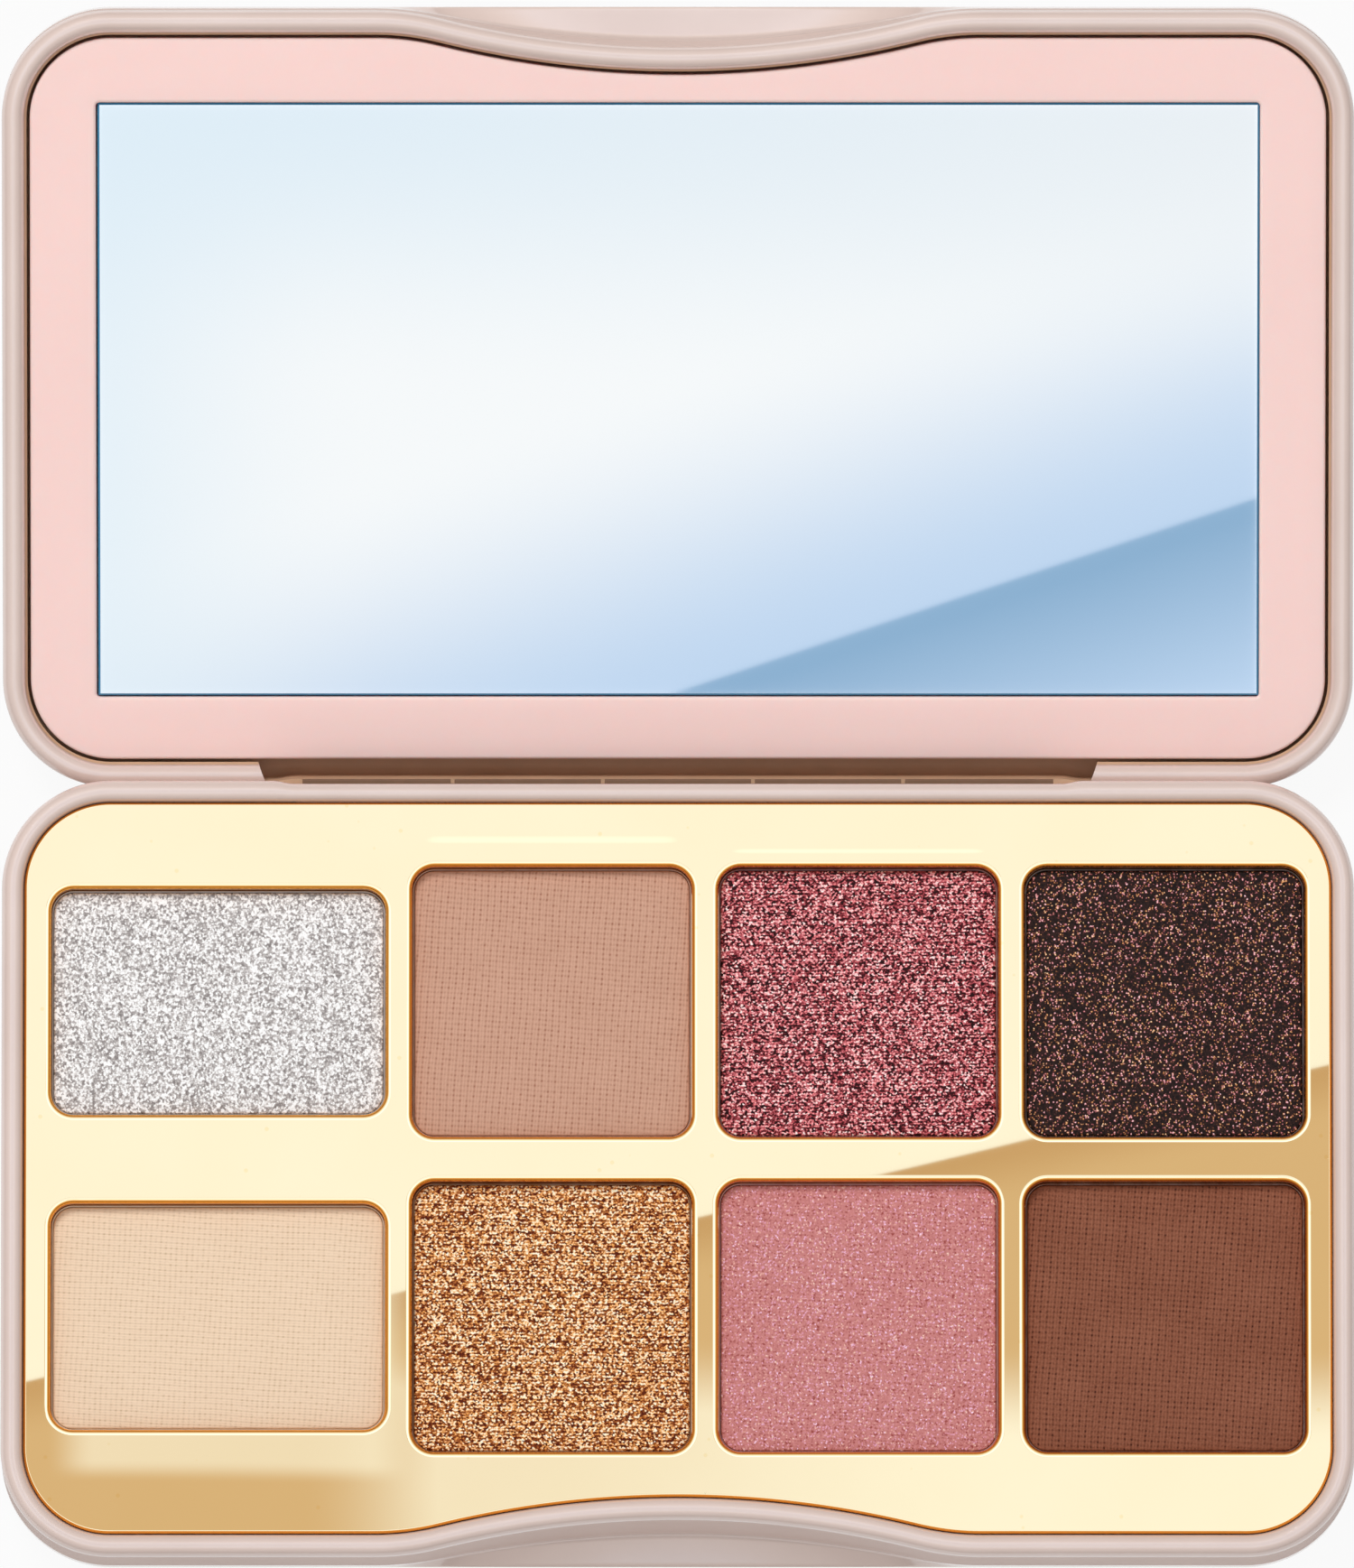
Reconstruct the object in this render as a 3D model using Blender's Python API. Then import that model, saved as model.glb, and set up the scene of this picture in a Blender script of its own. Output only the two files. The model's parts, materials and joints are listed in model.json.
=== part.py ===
"""Eyeshadow palette: a hinged lacquered tin with eight powder pans in its base and a mirror in its lid.

Metres, +Z up.  The base stands on Z = 0 with its front towards -Y.  The lid is drawn shut, in the frame
of an empty on the hinge axis, and that empty is turned to hold the lid open.
"""
import math

import bmesh
import bpy

# Powder wells, as openings in the tray
SQUARE_WELL_X = 0.02235
SQUARE_WELL_Y = 0.02175
WIDE_WELL_X = 0.0267
WIDE_WELL_Y = 0.0182
WELL_CORNER = 0.0021
COLUMN_GAP = 0.0021
ROW_GAP = 0.00357

# Tray around the wells
SIDE_MARGIN = 0.00187
REAR_MARGIN = 0.00488
FRONT_MARGIN = 0.00628
TRAY_PLATE = 0.0007
TRAY_WALL = 0.0007
TRAY_BELOW_RIM = 0.0001
TRAY_GAP = 0.0003

# Pans, cakes and what holds them
PAN_CLEARANCE = 0.00035
PAN_SHEET = 0.0003
PAN_HEIGHT = 0.004
PAN_BELOW_TRAY = 0.0007
CAKE_BELOW_LIP = 0.0003
CAKE_GAP = 0.0001
CAKE_EDGE = 0.0004
GLUE_RADIUS = 0.0035
GLUE_THICKNESS = 0.0004
TRAY_TAPE_WIDTH = 0.012
TRAY_TAPE_MARGIN = 0.006
SEAT_GAP = 0.0001

# Tin shells
BASE_HEIGHT = 0.009
CORNER_RADIUS = 0.0087
SHEET = 0.00045
FOLD_RADIUS = 0.0012
BEAD_RADIUS = 0.0009
CURL_TAIL = 0.0003
RIM_GAP = 0.0001

# Thumb scoop in both front walls
SCOOP_DEPTH = 0.00295
SCOOP_HALF = 0.02415
SCOOP_ARC_HALF = 0.0191
LEDGE_DRAFT = 0.0004
LEDGE_ABOVE_FOLD = 0.0001
LEDGE_RISE = 0.0006

# Mirror and its frame in the lid
FRAME_GAP = 0.0003
FRAME_BELOW_RIM = 0.0009
FRAME_FLOOR = 0.00095
FRAME_SIDE_BORDER = 0.0052
FRAME_END_BORDER = 0.005
MIRROR_GAP = 0.0003
MIRROR_POCKET_CORNER = 0.0003
MIRROR_THICKNESS = 0.0012
MIRROR_RECESS = 0.00035
MIRROR_SHIFT_Y = 0.0001
MIRROR_TAPE = 0.00025
MIRROR_TAPE_MARGIN = 0.004
FRAME_TAPE = 0.0003
FRAME_TAPE_WIDTH = 0.012
FRAME_TAPE_MARGIN = 0.008

# Hinge
AXIS_INSET = 0.00035
PIN_RADIUS = 0.0003
PIN_CLEARANCE = 0.00005
LEAF_SHEET = 0.0003
LEAF_HALF = 0.0300
LEAF_SIDE_GAP = 0.0006
LEAF_RISE = 0.0045
LEAF_BACK_GAP = 0.0003
WALL_INSET = 0.00025
WALL_STEP = 0.0018
KNUCKLES = 5
KNUCKLE_GAP = 0.0003
POCKET_CLEARANCE = 0.00015
POCKET_SHEET = 0.0003
POCKET_BELOW_TRAY = 0.00015
CURL_CUT_CHAMFER = 0.0007
CURL_CUT_MARGIN = 0.0022
STOP_GAP = 0.00007

# Mesh fineness
CORNER_STEPS = 6
WELL_STEPS = 4
FOLD_STEPS = 3
BEAD_STEPS = 6
CURL_STEPS = 4
SCOOP_STEPS = 16
ROUND_STEPS = 12

# Sizes worked out from those above
ROW_DEPTH = max(SQUARE_WELL_Y, WIDE_WELL_Y)
WELL_WIDTHS = (WIDE_WELL_X, SQUARE_WELL_X, SQUARE_WELL_X, SQUARE_WELL_X)
WELL_DEPTHS = (WIDE_WELL_Y, SQUARE_WELL_Y, SQUARE_WELL_Y, SQUARE_WELL_Y)
TRAY_X = sum(WELL_WIDTHS) + COLUMN_GAP * (len(WELL_WIDTHS) - 1) + 2 * SIDE_MARGIN
TRAY_Y = 2 * ROW_DEPTH + ROW_GAP + REAR_MARGIN + FRONT_MARGIN
TRAY_INSET = 2 * BEAD_RADIUS + TRAY_GAP
WIDTH = TRAY_X + 2 * TRAY_INSET
DEPTH = TRAY_Y + 2 * TRAY_INSET
TRAY_TOP = BASE_HEIGHT - TRAY_BELOW_RIM
PAN_TOP = TRAY_TOP - PAN_BELOW_TRAY
PAN_BOTTOM = PAN_TOP - PAN_HEIGHT
GLUE_TOP = PAN_BOTTOM - SEAT_GAP
WELL_FLOOR = GLUE_TOP - GLUE_THICKNESS - SEAT_GAP
CUP_BOTTOM = WELL_FLOOR - TRAY_WALL
LEDGE_OUTER_HEIGHT = FOLD_RADIUS + LEDGE_ABOVE_FOLD
LEDGE_INNER_HEIGHT = LEDGE_OUTER_HEIGHT + LEDGE_RISE
FRAME_INSET = 2 * BEAD_RADIUS + FRAME_GAP
FRAME_BACK = SHEET + FRAME_TAPE + 2 * SEAT_GAP
POCKET_FLOOR = FRAME_BACK + FRAME_FLOOR
MIRROR_BACK = POCKET_FLOOR + MIRROR_TAPE + 2 * SEAT_GAP
MIRROR_FRONT = MIRROR_BACK + MIRROR_THICKNESS
FRAME_FRONT = MIRROR_FRONT + MIRROR_RECESS
LID_HEIGHT = FRAME_FRONT + FRAME_BELOW_RIM
LID_TOP = BASE_HEIGHT + RIM_GAP + LID_HEIGHT
POCKET_HALF_X = WIDTH / 2 - FRAME_INSET - FRAME_SIDE_BORDER
POCKET_HALF_Y = DEPTH / 2 - FRAME_INSET - FRAME_END_BORDER
BORE_RADIUS = PIN_RADIUS + PIN_CLEARANCE
BARREL_RADIUS = BORE_RADIUS + LEAF_SHEET
HINGE_HALF = LEAF_HALF + LEAF_SIDE_GAP
POCKET_TOP = TRAY_TOP - TRAY_PLATE - POCKET_BELOW_TRAY - POCKET_SHEET
AXIS_Y = DEPTH / 2 - AXIS_INSET
AXIS_Z = POCKET_TOP - POCKET_CLEARANCE - BARREL_RADIUS

# The lid opens until its rear bead comes up against the base's rear wall
BEAD_OUT = AXIS_INSET - BEAD_RADIUS
BEAD_UP = BASE_HEIGHT + RIM_GAP + BEAD_RADIUS - AXIS_Z
STOP_REACH = AXIS_INSET + BEAD_RADIUS + STOP_GAP
LID_OPEN = math.atan2(BEAD_UP, BEAD_OUT) + math.acos(STOP_REACH / math.hypot(BEAD_OUT, BEAD_UP))

# The pocket reaches down to where the open lid's leaf has left the base's rear wall
LEAF_CLEARS = AXIS_INSET - WALL_INSET + POCKET_CLEARANCE
LEAF_TOUCH = (LEAF_CLEARS - BARREL_RADIUS * math.cos(LID_OPEN)) / math.sin(LID_OPEN)
POCKET_DROP = BARREL_RADIUS * math.sin(LID_OPEN) - LEAF_TOUCH * math.cos(LID_OPEN)

# Shades in each row from the left, as name, colour, roughness and metallic value
REAR_SHADES = (
    ("silver", (0.42, 0.38, 0.38), 0.35, 0.6),
    ("tan", (0.62, 0.37, 0.26), 0.9, 0.0),
    ("red", (0.38, 0.08, 0.10), 0.5, 0.3),
    ("dark", (0.030, 0.017, 0.015), 0.7, 0.1),
)
FRONT_SHADES = (
    ("cream", (0.87, 0.66, 0.48), 0.9, 0.0),
    ("copper", (0.56, 0.26, 0.09), 0.5, 0.4),
    ("rose", (0.55, 0.20, 0.22), 0.6, 0.2),
    ("brown", (0.23, 0.08, 0.05), 0.9, 0.0),
)


def clear_scene():
    """Remove every object of the open file."""
    for item in list(bpy.data.objects):
        bpy.data.objects.remove(item, do_unlink=True)


def finish(name, colour, roughness, metallic=0.0):
    """Return a Principled material of one colour, roughness and metallic value."""
    material = bpy.data.materials.new(name)
    material.use_nodes = True
    shader = material.node_tree.nodes["Principled BSDF"]
    shader.inputs["Base Color"].default_value = (*colour, 1.0)
    shader.inputs["Roughness"].default_value = roughness
    shader.inputs["Metallic"].default_value = metallic
    return material


def add_object(name, points, faces, material=None, axis=None):
    """Add a closed mesh object; a piece of the lid is stored relative to the hinge axis, its parent."""
    shift_y, shift_z = (AXIS_Y, AXIS_Z) if axis else (0.0, 0.0)
    mesh = bpy.data.meshes.new(name)
    mesh.from_pydata([(x, y - shift_y, z - shift_z) for x, y, z in points], [], faces)
    shape = bmesh.new()
    shape.from_mesh(mesh)
    bmesh.ops.recalc_face_normals(shape, faces=shape.faces)
    shape.to_mesh(mesh)
    shape.free()
    mesh.shade_smooth()
    mesh.set_sharp_from_angle(angle=math.radians(35))
    piece = bpy.data.objects.new(name, mesh)
    piece.parent = axis
    bpy.context.collection.objects.link(piece)
    if material:
        mesh.materials.append(material)
    else:
        piece.hide_render = True
        piece.display_type = "WIRE"
    return piece


def loft(loops):
    """Return points and faces of a closed body through loops of equal length, capped at both ends."""
    count = len(loops[0])
    points = [point for loop in loops for point in loop]
    faces = [tuple(reversed(range(count)))]
    for level in range(len(loops) - 1):
        low = level * count
        for i in range(count):
            j = (i + 1) % count
            faces.append((low + i, low + j, low + count + j, low + count + i))
    last = (len(loops) - 1) * count
    faces.append(tuple(range(last, last + count)))
    return points, faces


def merge(bodies):
    """Join several closed bodies, as points and faces, into one list of points and faces."""
    points = []
    faces = []
    for body_points, body_faces in bodies:
        start = len(points)
        points.extend(body_points)
        faces.extend(tuple(start + i for i in face) for face in body_faces)
    return points, faces


def arc(centre_x, centre_y, radius, start_deg, end_deg, steps):
    """Return points on a circle from one angle to another, both ends included."""
    angles = [math.radians(start_deg + (end_deg - start_deg) * i / steps) for i in range(steps + 1)]
    return [(centre_x + radius * math.cos(a), centre_y + radius * math.sin(a)) for a in angles]


def rounded_loop(half_x, half_y, radius, z, centre=(0.0, 0.0), steps=WELL_STEPS):
    """Return a rounded rectangle at one height."""
    centre_x, centre_y = centre
    flat = []
    for turn, (side_x, side_y) in enumerate(((1, -1), (1, 1), (-1, 1), (-1, -1))):
        corner_x = centre_x + side_x * (half_x - radius)
        corner_y = centre_y + side_y * (half_y - radius)
        flat.extend(arc(corner_x, corner_y, radius, 90 * turn - 90, 90 * turn, steps))
    return [(x, y, z) for x, y in flat]


def rounded_box(half_x, half_y, radius, low, high, centre=(0.0, 0.0), steps=WELL_STEPS):
    """Return points and faces of an upright block with rounded corners."""
    levels = (low, high)
    return loft([rounded_loop(half_x, half_y, radius, z, centre, steps) for z in levels])


def block(half_x, low_y, high_y, low_z, high_z):
    """Return points and faces of a box centred on X."""
    outline = ((-half_x, low_y), (half_x, low_y), (half_x, high_y), (-half_x, high_y))
    return loft([[(x, y, z) for x, y in outline] for z in (low_z, high_z)])


def add_cut(piece, tool, operation):
    """Join a tool to a piece, or cut it away."""
    step = piece.modifiers.new(tool.name, "BOOLEAN")
    step.operation = operation
    step.solver = "EXACT"
    step.object = tool


def scoop(x):
    """Return the scoop's share of its full depth at x: one arc, eased out by two reverse arcs."""
    reach = abs(x)
    if reach >= SCOOP_HALF:
        return 0.0
    if reach <= SCOOP_ARC_HALF:
        return 1.0 - reach ** 2 / (SCOOP_ARC_HALF * SCOOP_HALF)
    return (SCOOP_HALF - reach) ** 2 / ((SCOOP_HALF - SCOOP_ARC_HALF) * SCOOP_HALF)


def tin_loop(inset, z, scoop_depth=0.0, hinge_depth=0.0):
    """Return the tin's outline moved in by inset, with the front and rear walls pressed in further."""
    half_x = WIDTH / 2 - inset
    half_y = DEPTH / 2 - inset
    radius = CORNER_RADIUS - inset
    reach_x = half_x - radius
    reach_y = half_y - radius
    front = [SCOOP_HALF * (2 * i / SCOOP_STEPS - 1) for i in range(SCOOP_STEPS + 1)]
    flat = [(x, scoop_depth * scoop(x) - half_y) for x in front]
    flat += arc(reach_x, -reach_y, radius, -90, 0, CORNER_STEPS)
    flat += arc(reach_x, reach_y, radius, 0, 90, CORNER_STEPS)
    flat += [(HINGE_HALF + WALL_STEP, half_y), (HINGE_HALF, half_y - hinge_depth)]
    flat += [(-HINGE_HALF, half_y - hinge_depth), (-HINGE_HALF - WALL_STEP, half_y)]
    flat += arc(-reach_x, reach_y, radius, 90, 180, CORNER_STEPS)
    flat += arc(-reach_x, -reach_y, radius, 180, 270, CORNER_STEPS)
    return [(x, y, z) for x, y in flat]


def shell_sections(height):
    """Return the shell's section, from under its plate to inside it, as arguments of tin_loop.

    The sheet folds up from the plate, steps in at the scoop's ledge, rises to the rim, rolls over and
    curls down inside, and its inner face comes back the same way.
    """
    equator = height - BEAD_RADIUS
    ledge = SCOOP_DEPTH - LEDGE_DRAFT
    inner_fold = FOLD_RADIUS - SHEET
    inner_curl = BEAD_RADIUS - SHEET
    fold = arc(FOLD_RADIUS, FOLD_RADIUS, FOLD_RADIUS, 270, 180, FOLD_STEPS)
    bead = arc(BEAD_RADIUS, equator, BEAD_RADIUS, 180, 0, BEAD_STEPS)
    tail = [(2 * BEAD_RADIUS, equator - CURL_TAIL), (2 * BEAD_RADIUS - SHEET, equator - CURL_TAIL)]
    curl = arc(BEAD_RADIUS, equator, inner_curl, 0, 180, CURL_STEPS)
    back = arc(FOLD_RADIUS, FOLD_RADIUS, inner_fold, 180, 270, FOLD_STEPS)
    sections = [(inset, z, 0.0, 0.0) for inset, z in fold]
    sections.append((0.0, LEDGE_OUTER_HEIGHT, 0.0, 0.0))
    sections.append((0.0, LEDGE_INNER_HEIGHT, ledge, WALL_INSET))
    for inset, z in bead + tail + curl:
        pressed = WALL_INSET * max(0.0, 1.0 - inset / (2 * BEAD_RADIUS))
        sections.append((inset, z, SCOOP_DEPTH, pressed))
    sections.append((SHEET, LEDGE_INNER_HEIGHT - SHEET, ledge, WALL_INSET))
    sections.append((SHEET, LEDGE_OUTER_HEIGHT - SHEET / 2, 0.0, 0.0))
    sections += [(inset, z, 0.0, 0.0) for inset, z in back[1:]]
    return sections


def base_shell(lacquer):
    """Add the base tin, with a pocket pressed into its rear wall for the hinge."""
    loops = [tin_loop(*section) for section in shell_sections(BASE_HEIGHT)]
    shell = add_object("base_shell", *loft(loops), lacquer)
    bottom = AXIS_Z - POCKET_DROP
    back = AXIS_Y - BARREL_RADIUS - LEAF_BACK_GAP - LEAF_SHEET - POCKET_CLEARANCE
    half = LEAF_HALF + POCKET_CLEARANCE
    top = POCKET_TOP
    wall_y = DEPTH / 2 - WALL_INSET - SHEET / 2
    outside = DEPTH / 2 + BARREL_RADIUS
    house = block(half + POCKET_SHEET, back - POCKET_SHEET, wall_y, bottom - POCKET_SHEET, top + POCKET_SHEET)
    add_cut(shell, add_object("hinge_pocket_wall", *house), "UNION")
    add_cut(shell, add_object("hinge_pocket_space", *block(half, back, outside, bottom, top)), "DIFFERENCE")


def lid_shell(lacquer, axis):
    """Add the lid tin, whose rolled rim is cut away along the hinge."""
    loops = [tin_loop(inset, LID_TOP - z, *pressed) for inset, z, *pressed in shell_sections(LID_HEIGHT)]
    shell = add_object("lid_shell", *loft(loops), lacquer, axis)
    equator = LID_TOP - LID_HEIGHT + BEAD_RADIUS
    outside = DEPTH / 2 + BEAD_RADIUS
    wall_y = DEPTH / 2 - WALL_INSET - SHEET - SEAT_GAP
    inside = DEPTH / 2 - 3 * BEAD_RADIUS
    below = LID_TOP - LID_HEIGHT - BEAD_RADIUS
    section = ((outside, below), (outside, equator), (wall_y, equator))
    section += ((wall_y, equator + 2 * CURL_TAIL), (inside, equator + 2 * CURL_TAIL), (inside, below))
    slope = CURL_CUT_CHAMFER / (2 * BEAD_RADIUS)
    half = [HINGE_HALF + CURL_CUT_MARGIN + slope * (DEPTH / 2 - y) for y, z in section]
    ends = [[(side * h, y, z) for h, (y, z) in zip(half, section)] for side in (-1, 1)]
    add_cut(shell, add_object("rim_cut", *loft(ends), axis=axis), "DIFFERENCE")


def wells():
    """Yield each well's shade, centre, width and depth."""
    for row, shades in ((1, REAR_SHADES), (0, FRONT_SHADES)):
        left = SIDE_MARGIN - TRAY_X / 2
        centre_y = FRONT_MARGIN - TRAY_Y / 2 + ROW_DEPTH / 2 + row * (ROW_DEPTH + ROW_GAP)
        for shade, size_x, size_y in zip(shades, WELL_WIDTHS, WELL_DEPTHS):
            yield shade, (left + size_x / 2, centre_y), size_x, size_y
            left += size_x + COLUMN_GAP


def pan_tray(gold):
    """Add the tray: a plate that follows the rim, with a cup under each opening."""
    levels = (TRAY_TOP - TRAY_PLATE, TRAY_TOP)
    tray = add_object("pan_tray", *loft([tin_loop(TRAY_INSET, z, SCOOP_DEPTH) for z in levels]), gold)
    cups = []
    openings = []
    for shade, centre, size_x, size_y in wells():
        half_x = size_x / 2
        half_y = size_y / 2
        outer = (half_x + TRAY_WALL, half_y + TRAY_WALL, WELL_CORNER + TRAY_WALL)
        cups.append(rounded_box(*outer, CUP_BOTTOM, TRAY_TOP - TRAY_PLATE / 2, centre))
        openings.append(rounded_box(half_x, half_y, WELL_CORNER, WELL_FLOOR, TRAY_TOP + TRAY_PLATE, centre))
    add_cut(tray, add_object("well_cups", *merge(cups)), "UNION")
    add_cut(tray, add_object("well_openings", *merge(openings)), "DIFFERENCE")


def pan(name, centre, half_x, half_y, tinplate):
    """Add one pan: a shallow drawn cup of thin sheet."""
    corner = WELL_CORNER - PAN_CLEARANCE
    inner = (half_x - PAN_SHEET, half_y - PAN_SHEET, corner - PAN_SHEET)
    loops = [
        rounded_loop(half_x, half_y, corner, PAN_BOTTOM, centre),
        rounded_loop(half_x, half_y, corner, PAN_TOP, centre),
        rounded_loop(*inner, PAN_TOP, centre),
        rounded_loop(*inner, PAN_BOTTOM + PAN_SHEET, centre),
    ]
    add_object(f"pan_{name}", *loft(loops), tinplate)


def cake(name, centre, half_x, half_y, powder):
    """Add one pressed powder cake, with its top edge rounded off."""
    corner = WELL_CORNER - PAN_CLEARANCE - PAN_SHEET - CAKE_GAP
    top = PAN_TOP - CAKE_BELOW_LIP
    loops = [
        rounded_loop(half_x, half_y, corner, PAN_BOTTOM + PAN_SHEET + CAKE_GAP, centre),
        rounded_loop(half_x, half_y, corner, top - CAKE_EDGE / 2, centre),
        rounded_loop(half_x - CAKE_EDGE, half_y - CAKE_EDGE, corner - CAKE_EDGE, top, centre),
    ]
    add_object(f"cake_{name}", *loft(loops), powder)


def filled_wells(tinplate, glue):
    """Add the pan, the powder cake and the dot of glue of each well."""
    for (name, *look), centre, size_x, size_y in wells():
        half_x = size_x / 2 - PAN_CLEARANCE
        half_y = size_y / 2 - PAN_CLEARANCE
        pan(name, centre, half_x, half_y, tinplate)
        shrink = PAN_SHEET + CAKE_GAP
        cake(name, centre, half_x - shrink, half_y - shrink, finish(f"powder_{name}", *look))
        dot = arc(*centre, GLUE_RADIUS, 0, 360 - 360 / ROUND_STEPS, ROUND_STEPS - 1)
        loops = [[(x, y, z) for x, y in dot] for z in (GLUE_TOP - GLUE_THICKNESS, GLUE_TOP)]
        add_object(f"glue_{name}", *loft(loops), glue)


def tray_tapes(foam):
    """Add the two foam tapes that hold the tray's cups on the floor of the base."""
    half_x = TRAY_X / 2 - TRAY_TAPE_MARGIN
    for name, row in (("tray_tape_rear", 1), ("tray_tape_front", 0)):
        middle = FRONT_MARGIN - TRAY_Y / 2 + ROW_DEPTH / 2 + row * (ROW_DEPTH + ROW_GAP)
        low_y = middle - TRAY_TAPE_WIDTH / 2
        tape = block(half_x, low_y, low_y + TRAY_TAPE_WIDTH, SHEET + SEAT_GAP, CUP_BOTTOM - SEAT_GAP)
        add_object(name, *tape, foam)


def mirror_frame(plastic, axis):
    """Add the frame that fills the lid, with a square-cornered pocket for the mirror."""
    half_x = WIDTH / 2 - FRAME_INSET
    half_y = DEPTH / 2 - FRAME_INSET
    corner = CORNER_RADIUS - FRAME_INSET
    pocket = (POCKET_HALF_X, POCKET_HALF_Y, MIRROR_POCKET_CORNER)
    centre = (0.0, MIRROR_SHIFT_Y)
    outline = [tin_loop(FRAME_INSET, LID_TOP - h, SCOOP_DEPTH) for h in (FRAME_BACK, FRAME_FRONT)]
    frame = add_object("mirror_frame", *loft(outline), plastic, axis)
    low = LID_TOP - FRAME_FRONT - MIRROR_THICKNESS
    opening = rounded_box(*pocket, low, LID_TOP - POCKET_FLOOR, centre)
    add_cut(frame, add_object("mirror_pocket", *opening, axis=axis), "DIFFERENCE")


def lid_sheet(name, half_x, half_y, back, front, material, axis, centre=(0.0, 0.0)):
    """Add a thin flat piece in the lid, between two heights above the lid's outer face."""
    centre_x, centre_y = centre
    outline = block(half_x, centre_y - half_y, centre_y + half_y, LID_TOP - front, LID_TOP - back)
    points = [(x + centre_x, y, z) for x, y, z in outline[0]]
    add_object(name, points, outline[1], material, axis)


def mirror_parts(glass, tape, axis):
    """Add the mirror, the tape behind it and the two tapes behind its frame."""
    centre = (0.0, MIRROR_SHIFT_Y)
    half_x = POCKET_HALF_X - MIRROR_GAP
    half_y = POCKET_HALF_Y - MIRROR_GAP
    lid_sheet("mirror", half_x, half_y, MIRROR_BACK, MIRROR_FRONT, glass, axis, centre)
    sheet = (half_x - MIRROR_TAPE_MARGIN, half_y - MIRROR_TAPE_MARGIN)
    tape_back = POCKET_FLOOR + SEAT_GAP
    lid_sheet("mirror_tape", *sheet, tape_back, tape_back + MIRROR_TAPE, tape, axis, centre)
    low = SHEET + SEAT_GAP
    reach = WIDTH / 2 - FRAME_INSET - FRAME_TAPE_MARGIN - FRAME_TAPE_WIDTH / 2
    strip = (FRAME_TAPE_WIDTH / 2, DEPTH / 2 - FRAME_INSET - FRAME_TAPE_MARGIN)
    for name, side in (("frame_tape_left", -1), ("frame_tape_right", 1)):
        lid_sheet(name, *strip, low, low + FRAME_TAPE, tape, axis, (side * reach, 0.0))


def comb(plate, curl, spans):
    """Return points and faces of a leaf: a plate along X with a curl on some of its spans.

    The plate's first two points and the curl's first and last points are the edge that they share.
    """
    stations = [spans[0][0]] + [end for start, end, curled in spans]
    section = list(plate) + list(curl[1:-1])
    curl_order = [0] + list(range(len(plate), len(section))) + [1]
    points = [(x, y, z) for x in stations for y, z in section]
    faces = [tuple(range(len(plate)))]
    last = (len(stations) - 1) * len(section)
    faces.append(tuple(reversed(range(last, last + len(plate)))))
    for index, (start, end, curled) in enumerate(spans):
        low = index * len(section)
        high = low + len(section)
        edges = [(i, (i + 1) % len(plate)) for i in range(1 if curled else 0, len(plate))]
        if curled:
            edges += list(zip(curl_order, curl_order[1:]))
            faces.append(tuple(low + i for i in curl_order))
            faces.append(tuple(high + i for i in reversed(curl_order)))
        faces += [(low + i, low + j, high + j, high + i) for i, j in edges]
    return points, faces


def knuckle_spans(curled_first):
    """Return the stretches of a leaf along X, curled and plain in turn, with gaps beside the curls."""
    pitch = 2 * LEAF_HALF / KNUCKLES
    spans = []
    reached = -LEAF_HALF
    for index in range(KNUCKLES):
        if (index % 2 == 0) != curled_first:
            continue
        start = index * pitch - LEAF_HALF + (KNUCKLE_GAP / 2 if index else 0.0)
        end = (index + 1) * pitch - LEAF_HALF - (KNUCKLE_GAP / 2 if index < KNUCKLES - 1 else 0.0)
        if start > reached:
            spans.append((reached, start, False))
        spans.append((start, end, True))
        reached = end
    if reached < LEAF_HALF:
        spans.append((reached, LEAF_HALF, False))
    return spans


def hinge_section(points):
    """Move a leaf's section from the hinge axis to its place in the closed palette."""
    return [(AXIS_Y + y, AXIS_Z + z) for y, z in points]


def base_leaf(steel):
    """Add the base's leaf: it lies on the back of the pocket and curls over the pin."""
    outer = -BARREL_RADIUS - LEAF_BACK_GAP
    inner = outer - LEAF_SHEET
    low = POCKET_CLEARANCE - POCKET_DROP
    plate = [(outer, BORE_RADIUS), (outer, BARREL_RADIUS), (inner, BARREL_RADIUS), (inner, low), (outer, low)]
    inside = arc(0.0, 0.0, BORE_RADIUS, 90, -170, ROUND_STEPS)
    outside = arc(0.0, 0.0, BARREL_RADIUS, -170, 90, ROUND_STEPS)
    curl = [plate[0]] + inside + outside + [plate[1]]
    body = comb(hinge_section(plate), hinge_section(curl), knuckle_spans(True))
    add_object("base_hinge_leaf", *body, steel)


def lid_leaf(steel, axis):
    """Add the lid's leaf: it lies on the outside of the lid's rear wall and curls under the pin."""
    foot = BARREL_RADIUS + KNUCKLE_GAP / 2
    plate = [(BORE_RADIUS, foot), (BARREL_RADIUS, foot), (BARREL_RADIUS, LEAF_RISE), (BORE_RADIUS, LEAF_RISE)]
    inside = arc(0.0, 0.0, BORE_RADIUS, 0, -260, ROUND_STEPS)
    outside = arc(0.0, 0.0, BARREL_RADIUS, -260, 0, ROUND_STEPS)
    curl = [plate[0]] + inside + outside + [plate[1]]
    body = comb(hinge_section(plate), hinge_section(curl), knuckle_spans(False))
    add_object("lid_hinge_leaf", *body, steel, axis)


def hinge_pin(steel):
    """Add the wire pin that both leaves curl round."""
    ring = arc(AXIS_Y, AXIS_Z, PIN_RADIUS, 0, 360 - 360 / ROUND_STEPS, ROUND_STEPS - 1)
    ends = [[(x, y, z) for y, z in ring] for x in (-LEAF_HALF, LEAF_HALF)]
    add_object("hinge_pin", *loft(ends), steel)


def hinge_axis():
    """Add the empty that the lid turns with, on the hinge axis and held open."""
    axis = bpy.data.objects.new("lid_hinge_axis", None)
    axis.location = (0.0, AXIS_Y, AXIS_Z)
    axis.rotation_euler = (-LID_OPEN, 0.0, 0.0)
    bpy.context.collection.objects.link(axis)
    return axis


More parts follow.
